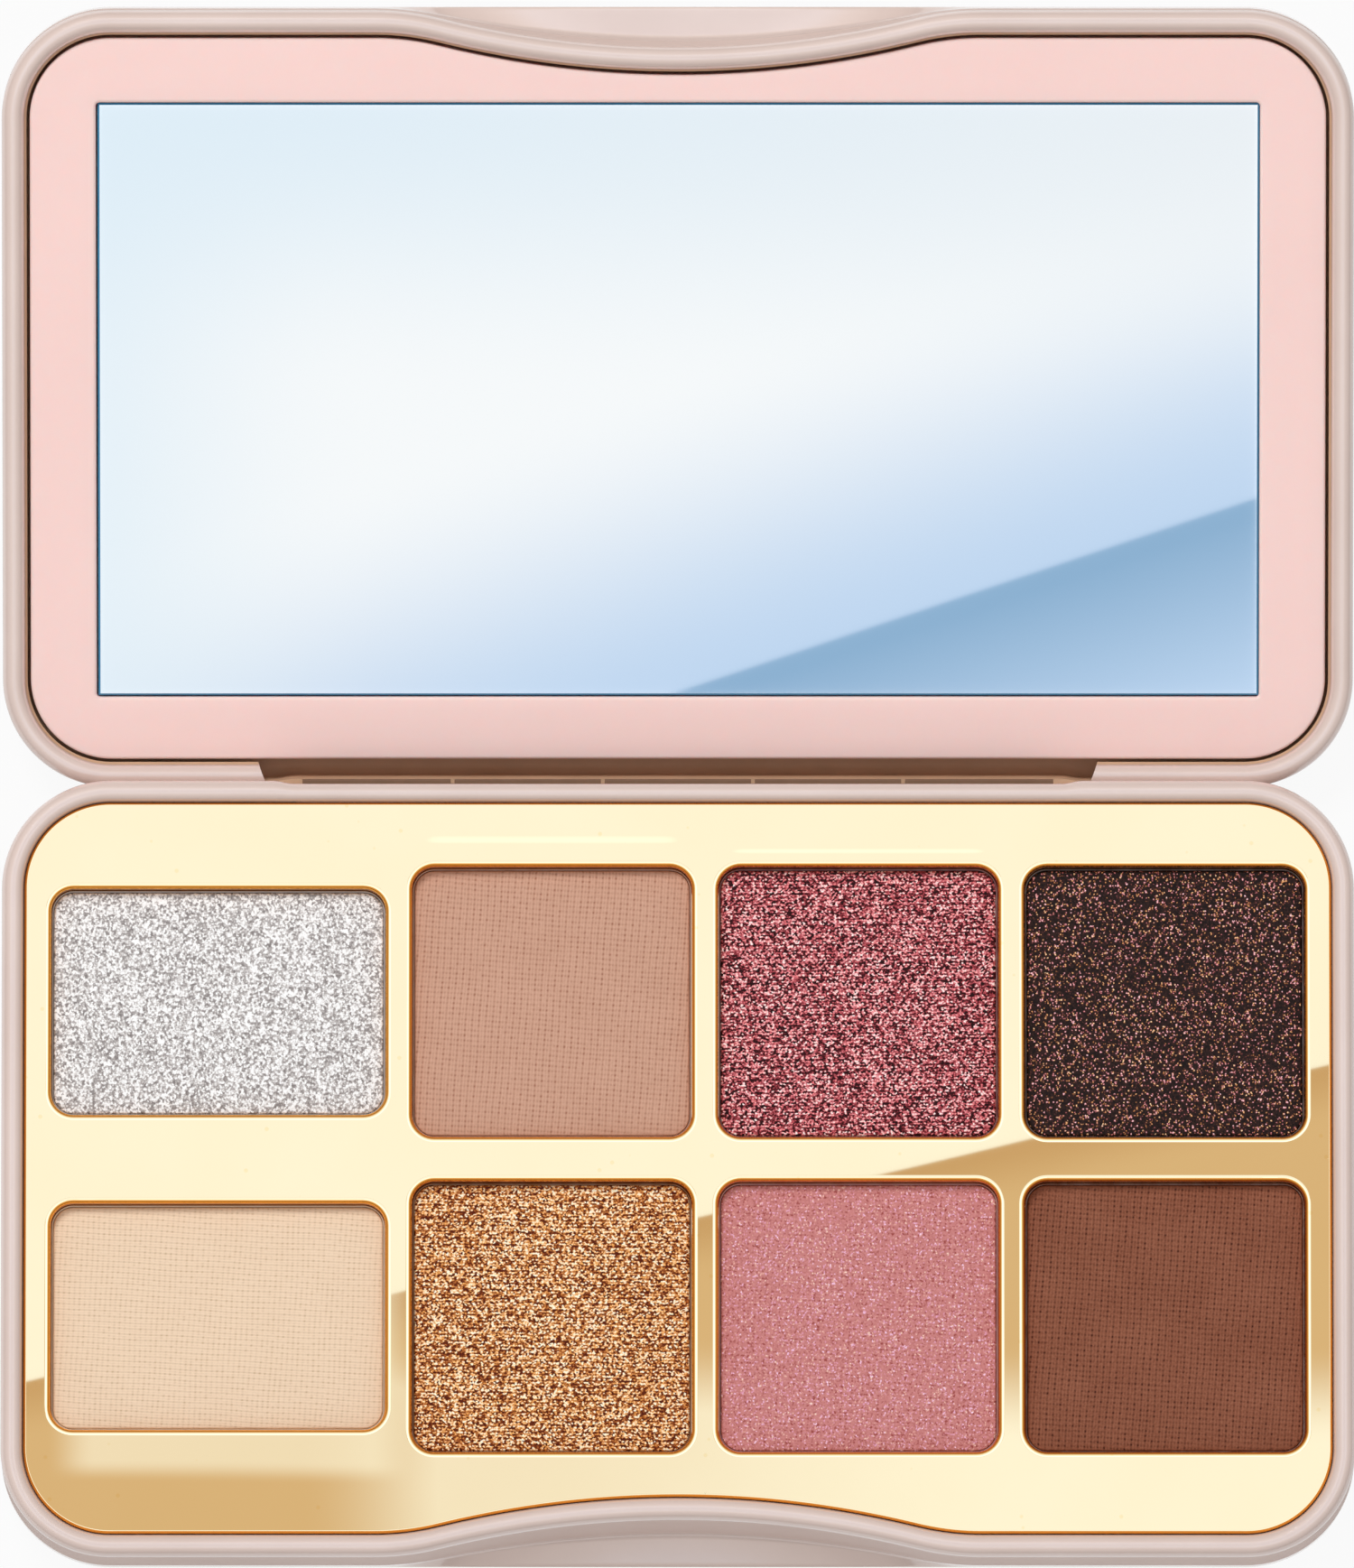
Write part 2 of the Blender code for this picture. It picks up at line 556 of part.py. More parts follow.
def main():
    """Build the whole palette."""
    clear_scene()
    axis = hinge_axis()
    lacquer = finish("taupe_lacquer", (0.62, 0.47, 0.41), 0.25)
    steel = finish("hinge_steel", (0.45, 0.36, 0.31), 0.4, 1.0)
    tape = finish("clear_tape", (0.75, 0.72, 0.66), 0.6)
    base_shell(lacquer)
    pan_tray(finish("gold_metallised_plastic", (0.90, 0.68, 0.36), 0.12, 1.0))
    filled_wells(finish("tinplate", (0.62, 0.62, 0.63), 0.35, 1.0), finish("glue", (0.80, 0.74, 0.60), 0.5))
    tray_tapes(finish("foam_tape", (0.80, 0.80, 0.78), 0.9))
    base_leaf(steel)
    hinge_pin(steel)
    lid_shell(lacquer, axis)
    mirror_frame(finish("pink_plastic", (0.93, 0.66, 0.62), 0.45), axis)
    mirror_parts(finish("mirror_glass", (0.90, 0.94, 0.97), 0.02, 1.0), tape, axis)
    lid_leaf(steel, axis)
    print(f"palette {1000 * WIDTH:.2f} x {1000 * DEPTH:.2f} mm, {1000 * LID_TOP:.2f} mm thick when shut")
    print(f"hinge axis at y {AXIS_Y:.6f} z {AXIS_Z:.6f}, open {math.degrees(LID_OPEN):.3f} degrees")


main()
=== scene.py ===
# %% [markdown]
# # An open eyeshadow palette
#
# The object is a flat hinged tin. Its base holds a gold tray with eight pans of pressed powder, and its
# lid holds a mirror in a pink frame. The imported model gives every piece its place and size. This lesson
# gives each visible piece a finer surface and each material its finish, one step at a time.

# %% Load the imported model
import json
import math

import bmesh
import bpy
import numpy as np
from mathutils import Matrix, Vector


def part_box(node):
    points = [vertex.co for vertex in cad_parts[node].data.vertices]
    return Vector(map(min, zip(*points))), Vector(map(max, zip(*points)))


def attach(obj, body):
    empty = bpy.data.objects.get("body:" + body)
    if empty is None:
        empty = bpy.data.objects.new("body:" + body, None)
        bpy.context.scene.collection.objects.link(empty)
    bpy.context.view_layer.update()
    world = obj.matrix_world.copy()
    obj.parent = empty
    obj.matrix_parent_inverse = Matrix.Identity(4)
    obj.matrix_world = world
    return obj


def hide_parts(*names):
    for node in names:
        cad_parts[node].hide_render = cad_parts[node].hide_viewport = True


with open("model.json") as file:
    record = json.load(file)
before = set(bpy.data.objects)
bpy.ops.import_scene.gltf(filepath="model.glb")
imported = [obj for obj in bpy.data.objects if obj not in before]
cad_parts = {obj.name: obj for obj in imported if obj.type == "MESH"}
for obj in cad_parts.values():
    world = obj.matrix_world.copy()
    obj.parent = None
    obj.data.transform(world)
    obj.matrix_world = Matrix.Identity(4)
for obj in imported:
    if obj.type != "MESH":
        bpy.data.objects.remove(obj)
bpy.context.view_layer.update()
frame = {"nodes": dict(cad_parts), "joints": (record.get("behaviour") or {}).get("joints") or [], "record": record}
hinge = frame["joints"][0]

# %% [markdown]
# ## The camera
#
# The photograph looks down on the tin from 82 degrees above the table. Base and lid are equally wide in
# it, though the lid's far edge stands higher, so the lens was a very long one. A long lens far away gives
# that flat view. Its distance follows from how many pixels a metre covers at the rim of the base.

# %% Camera at the photograph's angle
PHOTO_HEIGHT = 1737
PIXELS_PER_METRE = 13870
VIEW_ELEVATION = math.radians(82)
LENS_MM = 800
SENSOR_MM = 36
VIEW_CENTRE = Vector((-0.00007, 0.03083, 0.009))

view_distance = PHOTO_HEIGHT / PIXELS_PER_METRE * LENS_MM / SENSOR_MM
sight = Vector((0.0, math.cos(VIEW_ELEVATION), -math.sin(VIEW_ELEVATION)))
camera_data = bpy.data.cameras.new("camera")
camera_data.lens = LENS_MM
camera_data.sensor_width = SENSOR_MM
camera_data.clip_end = 2 * view_distance
camera = bpy.data.objects.new("camera", camera_data)
camera.location = VIEW_CENTRE - sight * view_distance
camera.rotation_euler = sight.to_track_quat("-Z", "Y").to_euler()
bpy.context.scene.collection.objects.link(camera)
bpy.context.scene.camera = camera
bpy.context.scene.view_settings.view_transform = "Standard"
print(f"camera {view_distance:.2f} m away")

# %% [markdown]
# ## Small tools for node trees
#
# Every finish below is a tree of nodes. Writing each node out takes many lines, so these helpers add one
# node, set or link its inputs and hand back its output. A plain number is set on the socket, and an
# output of another node is linked to it.

# %% Node helpers


def plug(tree, value, socket):
    """Link another node's output to a socket, or set a plain value on it."""
    if isinstance(value, bpy.types.NodeSocket):
        tree.links.new(value, socket)
    else:
        socket.default_value = value


def add_node(tree, kind, inputs=(), **settings):
    """Add a node with its settings, and plug in its inputs by name or number."""
    made = tree.nodes.new(kind)
    for name, value in settings.items():
        setattr(made, name, value)
    for name, value in dict(inputs).items():
        plug(tree, value, made.inputs[name])
    return made


def calculate(tree, operation, *values, clamp=False):
    """Add one step of arithmetic and return its result."""
    step = add_node(tree, "ShaderNodeMath", dict(enumerate(values)), operation=operation, use_clamp=clamp)
    return step.outputs[0]


def mix_colours(tree, share, first, second, way="MIX"):
    """Return the first colour with a share of the second mixed in."""
    inputs = {0: share, 6: first, 7: second}
    return add_node(tree, "ShaderNodeMix", inputs, data_type="RGBA", blend_type=way).outputs[2]


def mix_shaders(tree, share, first, second):
    """Return the first shader with a share of the second mixed in."""
    return add_node(tree, "ShaderNodeMixShader", {0: share, 1: first, 2: second}).outputs[0]


def noise(tree, place, scale, detail=2.0):
    """Return soft noise between 0 and 1."""
    inputs = {"Vector": place, "Scale": scale, "Detail": detail}
    return add_node(tree, "ShaderNodeTexNoise", inputs).outputs["Fac"]


def stretch(tree, value, low, high, new_low=0.0, new_high=1.0, way="LINEAR"):
    """Carry a range of values to another range, and hold it at the ends."""
    inputs = {"Value": value, "From Min": low, "From Max": high, "To Min": new_low, "To Max": new_high}
    return add_node(tree, "ShaderNodeMapRange", inputs, interpolation_type=way).outputs[0]


def colour_steps(tree, value, steps):
    """Return a colour from a row of (position, colour) steps."""
    ramp = add_node(tree, "ShaderNodeValToRGB", {"Fac": value})
    points = ramp.color_ramp.elements
    while len(points) < len(steps):
        points.new(0.5)
    for point, (position, colour) in zip(points, steps):
        point.position = position
        point.color = (*colour, 1.0)
    return ramp.outputs["Color"]


def new_finish(name, **values):
    """Return a material, its tree, its shader and the object's own coordinates."""
    material = bpy.data.materials.new(name)
    material.use_nodes = True
    tree = material.node_tree
    shader = tree.nodes["Principled BSDF"]
    for socket, value in values.items():
        shader.inputs[socket.replace("_", " ")].default_value = value
    place = add_node(tree, "ShaderNodeTexCoord").outputs["Object"]
    return material, tree, shader, place


# %% [markdown]
# ## The studio
#
# The photograph's light is soft and even. It comes from above, with the stronger share from behind and
# from the left: each powder has a narrow shadow along its rear and left edges. A large lamp gives that
# share. The world fills the rest, and it is brighter towards the front, where the lamp gives less. Shiny
# pieces see a world of their own, with a bright ceiling and a darker, slightly warm horizon, which draws
# the light line along every rolled rim. The floor is a pale grey that shows nearly white to the camera
# and still takes a soft shadow.

# %% World and lamp
WHITE = (1.0, 1.0, 1.0, 1.0)
WORLD_FILL = 0.56
WORLD_LEAN = 0.5
KEY_PLACE = Vector((-0.41, 0.79, 1.24))
KEY_SIZE = 0.45
KEY_POWER = 13.4
CEILING = (
    (0.00, (0.100, 0.080, 0.062)),
    (0.20, (0.200, 0.166, 0.136)),
    (0.50, (0.380, 0.322, 0.270)),
    (0.78, (0.470, 0.404, 0.344)),
    (0.90, (0.72, 0.640, 0.540)),
    (0.95, (1.00, 1.000, 1.000)),
    (0.98, (0.625, 0.625, 0.625)),
)
CEILING_TINT = (1.63, 1.76, 1.95, 1.0)


def light_world():
    """Give diffuse rays a fill, glossy rays a ceiling and a horizon, and the camera plain white.

    The fill's strength at a direction is f (1 - lean y), so it is brighter towards the front.
    """
    world = bpy.data.worlds.new("studio")
    bpy.context.scene.world = world
    world.use_nodes = True
    tree = world.node_tree
    tree.nodes.clear()
    ray = add_node(tree, "ShaderNodeLightPath").outputs
    direction = add_node(tree, "ShaderNodeTexCoord").outputs["Generated"]
    along = add_node(tree, "ShaderNodeSeparateXYZ", {0: direction}).outputs
    ceiling = mix_colours(tree, 1.0, colour_steps(tree, along["Z"], CEILING), CEILING_TINT, "MULTIPLY")
    level = calculate(tree, "MULTIPLY_ADD", along["Y"], -WORLD_LEAN * WORLD_FILL, WORLD_FILL)

    def background(colour, strength=1.0):
        """Return one light of the world."""
        return add_node(tree, "ShaderNodeBackground", {"Color": colour, "Strength": strength}).outputs[0]

    glossy = calculate(tree, "MAXIMUM", ray["Is Glossy Ray"], ray["Is Transmission Ray"])
    shown = mix_shaders(tree, glossy, background(WHITE, level), background(ceiling))
    shown = mix_shaders(tree, ray["Is Camera Ray"], shown, background(WHITE))
    add_node(tree, "ShaderNodeOutputWorld", {"Surface": shown})


def add_lamp(name, place, size, power):
    """Add a square soft lamp that faces the middle of the palette."""
    lamp = bpy.data.lights.new(name, "AREA")
    lamp.size = size
    lamp.energy = power
    holder = bpy.data.objects.new(name, lamp)
    holder.location = place
    holder.rotation_euler = (VIEW_CENTRE - place).to_track_quat("-Z", "Y").to_euler()
    holder.visible_glossy = False
    bpy.context.scene.collection.objects.link(holder)


light_world()
add_lamp("key_lamp", KEY_PLACE, KEY_SIZE, KEY_POWER)
print(f"key lamp {(KEY_PLACE - VIEW_CENTRE).length:.2f} m away, {KEY_SIZE:.2f} m across")

# %% White floor that keeps a soft shadow
FLOOR_HALF = 4.0
FLOOR_WHITE = 0.55
FLOOR_SHOWN = 0.93


def add_floor():
    """Add the table: a pale matt plane, mixed with plain white where the camera or a gloss looks at it."""
    corners = FLOOR_HALF * np.array([(-1, -1, 0), (1, -1, 0), (1, 1, 0), (-1, 1, 0)])
    mesh = bpy.data.meshes.new("floor")
    mesh.from_pydata(corners.tolist(), [], [(0, 1, 2, 3)])
    floor = bpy.data.objects.new("floor", mesh)
    bpy.context.scene.collection.objects.link(floor)
    grey = (FLOOR_WHITE, FLOOR_WHITE, FLOOR_WHITE, 1.0)
    matt = {"Base_Color": grey, "Roughness": 0.9, "Specular_IOR_Level": 0.0}
    material, tree, shader, _ = new_finish("floor_white", **matt)
    ray = add_node(tree, "ShaderNodeLightPath").outputs
    direct = calculate(tree, "MAXIMUM", ray["Is Camera Ray"], ray["Is Glossy Ray"])
    direct = calculate(tree, "MAXIMUM", direct, ray["Is Transmission Ray"])
    share = calculate(tree, "MULTIPLY", direct, FLOOR_SHOWN)
    white = add_node(tree, "ShaderNodeEmission", {"Color": WHITE, "Strength": 1.0}).outputs[0]
    mixed = mix_shaders(tree, share, shader.outputs[0], white)
    plug(tree, mixed, tree.nodes["Material Output"].inputs["Surface"])
    mesh.materials.append(material)
    print(f"floor {2 * FLOOR_HALF:.0f} m wide")


add_floor()

# %% [markdown]
# ## Paths, sections and grids
#
# Most pieces here are pressed or moulded round a rounded rectangle. Each of them is a section carried
# along such a path: a station of the path is a point and an outward direction, and a section is a list of
# distances inwards and heights. Both are whole arrays, so one sum gives every point of the surface. The
# alternative, modelling by hand with extrude and bevel, would be slower to change.

# %% Grid and mesh helpers
SHARP_ANGLE = 40.0
MERGE_DISTANCE = 2e-7


def grid_faces(rows, columns, closed=False, start=0):
    """Return the quads of a rows by columns grid of points, whose rows join end to end if closed."""
    index = start + np.arange(rows * columns).reshape(rows, columns)
    if closed:
        index = np.hstack([index, index[:, :1]])
    corners = (index[:-1, :-1], index[:-1, 1:], index[1:, 1:], index[1:, :-1])
    return np.stack(corners, axis=-1).reshape(-1, 4)


def capped_faces(rows, columns):
    """Return the quads of a closed grid, a cap over its first ring and a cap over its last one."""
    first, last = range(columns), range((rows - 1) * columns, rows * columns)
    return grid_faces(rows, columns, closed=True).tolist() + [list(first)[::-1], list(last)]


def with_heights(flat, height):
    """Add heights, one for all, for each row or for each point, to points seen from above."""
    height = np.broadcast_to(height, flat.shape[:-1])
    return np.concatenate([flat, height[..., None]], axis=-1)


def add_mesh(name, points, faces, sharp=SHARP_ANGLE, weld=True):
    """Add a mesh object; seams are merged and faces turned outwards where weld is set."""
    mesh = bpy.data.meshes.new(name)
    mesh.from_pydata(np.asarray(points).reshape(-1, 3).tolist(), [], faces)
    if weld:
        shape = bmesh.new()
        shape.from_mesh(mesh)
        bmesh.ops.remove_doubles(shape, verts=shape.verts, dist=MERGE_DISTANCE)
        bmesh.ops.recalc_face_normals(shape, faces=shape.faces)
        shape.to_mesh(mesh)
        shape.free()
    mesh.shade_smooth()
    mesh.set_sharp_from_angle(angle=math.radians(sharp))
    piece = bpy.data.objects.new(name, mesh)
    bpy.context.scene.collection.objects.link(piece)
    return piece


def dress(piece, node, slot, *materials):
    """Let a piece stand for a node: it rides on the node's body and takes its materials. The slot is not used."""
    for material in materials:
        piece.data.materials.append(material)
    bodies = frame["record"]["behaviour"]["bodies"]
    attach(piece, next(body for body, nodes in bodies.items() if node in nodes))
    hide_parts(node)
    print(f"{piece.name}: {len(piece.data.polygons)} faces")


def carve(piece, tool, operation):
    """Cut a tool out of a piece, or join it on, and remove the tool."""
    cut = piece.modifiers.new("cut", "BOOLEAN")
    cut.operation = operation
    cut.object = tool
    graph = bpy.context.evaluated_depsgraph_get()
    carved = bpy.data.meshes.new_from_object(piece.evaluated_get(graph))
    piece.modifiers.clear()
    carved.set_sharp_from_angle(angle=math.radians(SHARP_ANGLE))
    piece.data = carved
    bpy.data.objects.remove(tool)


def box_tool(low, high):
    """Return a box between two corners."""
    corner = np.array(np.meshgrid([0, 1], [0, 1], [0, 1], indexing="ij")).reshape(3, -1).T
    points = np.asarray(low) + corner * (np.asarray(high) - np.asarray(low))
    faces = [(0, 1, 3, 2), (4, 6, 7, 5), (0, 4, 5, 1), (2, 3, 7, 6), (0, 2, 6, 4), (1, 5, 7, 3)]
    return add_mesh("tool", points, faces)


# %% Sections


def arc(centre, radius, start, end, steps):
    """Points of a circle between two angles in degrees, as (inwards, height)."""
    angle = np.radians(np.linspace(start, end, steps + 1))
    return np.asarray(centre) + radius * np.stack([np.cos(angle), np.sin(angle)], axis=1)


def bend(first, corner, last, steps):
    """Points of a curve that leaves first towards corner and arrives at last."""
    t = np.linspace(0.0, 1.0, steps + 1)[:, None]
    return (1 - t) ** 2 * np.asarray(first) + 2 * t * (1 - t) * np.asarray(corner) + t ** 2 * np.asarray(last)


# %% [markdown]
# ## The tin's outline
#
# Base and lid are drawn from the same outline: a rectangle with round corners, a thumb scoop in the front
# wall and a shallow step in the rear wall for the hinge. The scoop is one wide arc with a reverse arc at
# each end. It is stored as a share of its depth at each station, so the foot of the wall can keep the
# straight outline while the rim follows the scoop.

# %% Sizes of the tin
CORNER_RADIUS = 0.0087
SHEET = 0.00045
FOLD_RADIUS = 0.0012
BEAD_RADIUS = 0.0009
CURL_TAIL = 0.00022
CURL_FLARE = 0.00018
SCOOP_DEPTH = 0.00295
SCOOP_HALF = 0.02415
SCOOP_ARC_HALF = 0.0191
LEDGE_DRAFT = 0.0004
LEDGE_OUTER_HEIGHT = 0.0013
LEDGE_INNER_HEIGHT = 0.0019
LEAF_SIDE_GAP = 0.0006
WALL_PRESS = 0.00025
PRESS_RUN = 0.0018

base_low, base_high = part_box("base_shell")
half_width = (base_high.x - base_low.x) / 2
half_depth = (base_high.y - base_low.y) / 2
base_height = base_high.z
leaf_low, leaf_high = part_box("base_hinge_leaf")
press_half = leaf_high.x + LEAF_SIDE_GAP
print(f"tin {2000 * half_width:.1f} x {2000 * half_depth:.1f} mm, base {1000 * base_height:.1f} mm high")

# %% Outline stations
CORNER_STEPS = 28
SCOOP_STEPS = 144
PRESS_STEPS = 12
STRAIGHT_STEPS = 8
TOUCH = 1e-9


def scoop(x):
    """Share of the scoop's depth: 1 - x^2 / (a L) inside its arc, (L - |x|)^2 / ((L - a) L) outside it."""
    reach = np.minimum(np.abs(x), SCOOP_HALF)
    inside = 1 - reach ** 2 / (SCOOP_ARC_HALF * SCOOP_HALF)
    outside = (SCOOP_HALF - reach) ** 2 / ((SCOOP_HALF - SCOOP_ARC_HALF) * SCOOP_HALF)
    return np.where(reach <= SCOOP_ARC_HALF, inside, outside)


def press(x):
    """Share of the rear wall's press: 1 along the hinge, eased to 0 over the run beyond it."""
    t = np.clip((press_half + PRESS_RUN - np.abs(x)) / PRESS_RUN, 0.0, 1.0)
    return t * t * (3 - 2 * t)


def corner_stations(side_x, side_y, start):
    """Stations of one round corner over a quarter turn."""
    normal = arc((0.0, 0.0), 1.0, start, start + 90, CORNER_STEPS)
    centre = np.array([side_x * (half_width - CORNER_RADIUS), side_y * (half_depth - CORNER_RADIUS)])
    return centre + CORNER_RADIUS * normal, normal


def wall_stations(x, side):
    """Stations of the front or rear wall at given places along X."""
    flat = np.zeros_like(x)
    return np.stack([x, flat + side * half_depth], axis=1), np.stack([flat, flat + side], axis=1)


def tin_stations():
    """Points, directions, scoop shares and press shares once round the tin, anticlockwise from the scoop."""
    ends = np.linspace(half_width - CORNER_RADIUS, SCOOP_HALF, STRAIGHT_STEPS + 1)[1:-1]
    rear = np.linspace(half_width - CORNER_RADIUS, press_half + PRESS_RUN, STRAIGHT_STEPS + 1)[1:-1]
    eased = press_half + PRESS_RUN * np.linspace(1.0, 0.0, PRESS_STEPS)
    middle = np.linspace(press_half, 0.0, STRAIGHT_STEPS + 1)[1:]
    rear = np.concatenate([rear, eased, middle])
    parts = [
        wall_stations(np.linspace(-SCOOP_HALF, SCOOP_HALF, SCOOP_STEPS + 1), -1),
        wall_stations(ends[::-1], -1),
        corner_stations(1, -1, -90),
        corner_stations(1, 1, 0),
        wall_stations(np.concatenate([rear, -rear[-2::-1]]), 1),
        corner_stations(-1, 1, 90),
        corner_stations(-1, -1, 180),
        wall_stations(-ends, -1),
    ]
    points = np.concatenate([part[0] for part in parts])
    normals = np.concatenate([part[1] for part in parts])
    front = points[:, 1] <= -half_depth + TOUCH
    behind = points[:, 1] >= half_depth - TOUCH
    return points, normals, scoop(points[:, 0]) * front, press(points[:, 0]) * behind


def carry_round(section, stations):
    """Carry a section round the tin: point minus inset times direction, then pushed in by scoop and press."""
    points, normals, scoop_share, press_share = stations
    inset, height, scoop_push, press_push = (column[:, None] for column in section.T)
    x = points[:, 0] - inset * normals[:, 0]
    y = points[:, 1] - inset * normals[:, 1] + scoop_push * scoop_share - press_push * press_share
    return np.stack([x, y, np.broadcast_to(height, x.shape)], axis=-1)


stations = tin_stations()
print(f"{len(stations[0])} stations round the tin")

# %% [markdown]
# ## Lacquer on the tin
#
# The shells are tinplate under a taupe-pink lacquer with a little pearl in it. It is half a paint and half
# a soft metal: light rolls over the rim in bands, with a bright line on top and a darker flank. The wall
# below the rim has the same colour with a satin gloss, and the inside of the tin is a plain brown varnish.
# A shared group gives slow cloudiness and a faint orange peel. One function turns it into a finish between
# two colours, and the pink plastic, the glass and the small parts use that function too.

# %% Surface unevenness, shared by the smooth finishes


def make_group(name, inputs, outputs):
    """Start a shader group with named inputs and outputs, each with its kind of socket."""
    group = bpy.data.node_groups.new(name, "ShaderNodeTree")
    for direction, sockets in (("INPUT", inputs), ("OUTPUT", outputs)):
        for socket, kind in sockets:
            group.interface.new_socket(socket, in_out=direction, socket_type=f"NodeSocket{kind}")
    return group, add_node(group, "NodeGroupInput").outputs


def use_group(tree, group, **inputs):
    """Place a group in a material and return its outputs."""
    made = add_node(tree, "ShaderNodeGroup", node_tree=group)
    for name, value in inputs.items():
        plug(tree, value, made.inputs[name])
    return made.outputs


def unevenness_group():
    """Group: slow clouds between 0 and 1, and the height of fine ripples, over the surface."""
    inputs = (("Place", "Vector"), ("Clouds", "Float"), ("Ripples", "Float"))
    group, given = make_group("unevenness", inputs, (("Cloud", "Float"), ("Height", "Float")))
    cloud = noise(group, given["Place"], given["Clouds"], 3.0)
    ripple = noise(group, given["Place"], given["Ripples"], 1.0)
    add_node(group, "NodeGroupOutput", {"Cloud": cloud, "Height": ripple})
    return group


UNEVENNESS = unevenness_group()


def uneven(tree, place, clouds, ripples):
    """Clouds and ripples of a material's surface, each with its own size."""
    found = use_group(tree, UNEVENNESS, Place=place, Clouds=clouds, Ripples=ripples)
    return found["Cloud"], found["Height"]


def raise_bump(tree, shader, height, strength, distance):
    """Let a height between 0 and 1 tilt the shader's normal."""
    inputs = {"Height": height, "Strength": strength, "Distance": distance}
    plug(tree, add_node(tree, "ShaderNodeBump", inputs).outputs[0], shader.inputs["Normal"])


def clouded_finish(name, first, second, clouds, ripples, bump=0.0, depth=0.0001, **values):
    """Material between two colours in slow clouds, with a bump from its ripples where one is given."""
    material, tree, shader, place = new_finish(name, **values)
    cloud, ripple = uneven(tree, place, clouds, ripples)
    plug(tree, mix_colours(tree, cloud, (*first, 1), (*second, 1)), shader.inputs["Base Color"])
    if bump:
        raise_bump(tree, shader, ripple, bump, depth)
    return material


# %% Lacquer outside, varnish inside
TAUPE = {"first": (0.66, 0.512, 0.458), "second": (0.73, 0.582, 0.528)}
PEARL = {"clouds": 140.0, "ripples": 2600.0, "bump": 0.06, "Metallic": 0.05}
COAT = {"Coat_Weight": 1.0, "Coat_Roughness": 0.09, "Coat_IOR": 1.7}

LACQUER = clouded_finish("taupe_lacquer", **TAUPE, **PEARL, Roughness=0.30, Specular_IOR_Level=1.0, **COAT)
SATIN = clouded_finish("taupe_satin", **TAUPE, **PEARL, Roughness=0.55, Specular_IOR_Level=0.2)
VARNISH = clouded_finish(
    "inside_varnish", (0.56, 0.35, 0.215), (0.68, 0.44, 0.285), clouds=300.0, ripples=3000.0, bump=0.1,
    Roughness=0.5)
print("tin finishes:", LACQUER.name, SATIN.name, VARNISH.name)

# %% [markdown]
# ## The two shells
#
# Each shell is one sheet: a flat plate folds up into the wall, the wall steps in over a ledge at the
# scoop, and the rim rolls over into a round bead and curls down inside. The section below follows the
# sheet's outer face up, round the bead and back down its inner face, so the carried section closes into a
# sheet of real thickness. Two cuts then follow the real tin: the hinge pocket in the base and the trimmed
# rim in the lid.

# %% Section of a shell
LEDGE_BEND = 0.16
CREASE_RISE = 0.0005
FOLD_STEPS = 10
BEND_STEPS = 6
BEAD_STEPS = 28
CURL_STEPS = 12
BACK_STEPS = 6


def plain(points):
    """Add no scoop and the full press to (inset, height) points of the wall's foot."""
    return np.hstack([points, np.zeros((len(points), 1)), np.full((len(points), 1), WALL_PRESS)])


def pressed(points):
    """Add the full scoop to (inset, height) points of the rim, and a press that fades over the bead."""
    share = np.maximum(0.0, 1.0 - points[:, :1] / (2 * BEAD_RADIUS))
    return np.hstack([points, np.full((len(points), 1), SCOOP_DEPTH), WALL_PRESS * share])


def shell_section(height):
    """Section of a shell as (inset, height, scoop, press), and the rows of its wall and its inside.

    It follows the outer face from the plate's fold over the ledge to the bead, and the inner face back.
    """
    equator = height - BEAD_RADIUS
    ledge = SCOOP_DEPTH - LEDGE_DRAFT
    foot = np.array([0.0, FOLD_RADIUS, 0.0, WALL_PRESS])
    outer = np.array([0.0, LEDGE_OUTER_HEIGHT, 0.0, WALL_PRESS])
    inner = np.array([0.0, LEDGE_INNER_HEIGHT, ledge, WALL_PRESS])
    bead_foot = np.array([0.0, equator, SCOOP_DEPTH, WALL_PRESS])
    up_wall = inner + (bead_foot - inner) * CREASE_RISE / (equator - LEDGE_INNER_HEIGHT)
    flare = 2 * BEAD_RADIUS + CURL_FLARE
    tail = [(flare, equator - CURL_TAIL), (flare - SHEET, equator - 2 * CURL_TAIL)]
    outside = [
        plain(arc((FOLD_RADIUS, FOLD_RADIUS), FOLD_RADIUS, 270, 180, FOLD_STEPS))[:-1],
        bend(foot, outer, outer + LEDGE_BEND * (inner - outer), BEND_STEPS),
        bend(inner + LEDGE_BEND * (outer - inner), inner, up_wall, BEND_STEPS),
        pressed(arc((BEAD_RADIUS, equator), BEAD_RADIUS, 180, 0, BEAD_STEPS)),
    ]
    inside = [
        pressed(np.array(tail)),
        pressed(arc((BEAD_RADIUS, equator), BEAD_RADIUS - SHEET, 0, 180, CURL_STEPS)),
        (inner + (SHEET, -SHEET, 0.0, 0.0))[None],
        (outer + (SHEET, -SHEET / 2, 0.0, 0.0))[None],
        plain(arc((FOLD_RADIUS, FOLD_RADIUS), FOLD_RADIUS - SHEET, 180, 270, BACK_STEPS))[1:],
    ]
    wall_row = sum(len(part) for part in outside[:-1]) - 1
    outside = np.concatenate(outside)
    return np.concatenate([outside] + inside), wall_row, len(outside) - 1


OUTER, INNER, WALL = 0, 1, 2
SHELL_FINISHES = (LACQUER, VARNISH, SATIN)


def shell_mesh(name, section, wall_row, inside_row, place_points):
    """Carry a shell's section round the tin, cap its two plates, and mark its inside and its wall."""
    points = carry_round(section, stations)
    rows, columns = points.shape[:2]
    piece = add_mesh(name, place_points(points), capped_faces(rows, columns))
    marks = np.where(np.arange(rows - 1) >= inside_row, INNER, OUTER)
    marks[wall_row] = WALL
    marks = np.concatenate([np.repeat(marks, columns), [OUTER, INNER]])
    piece.data.polygons.foreach_set("material_index", marks.astype(np.int32))
    return piece


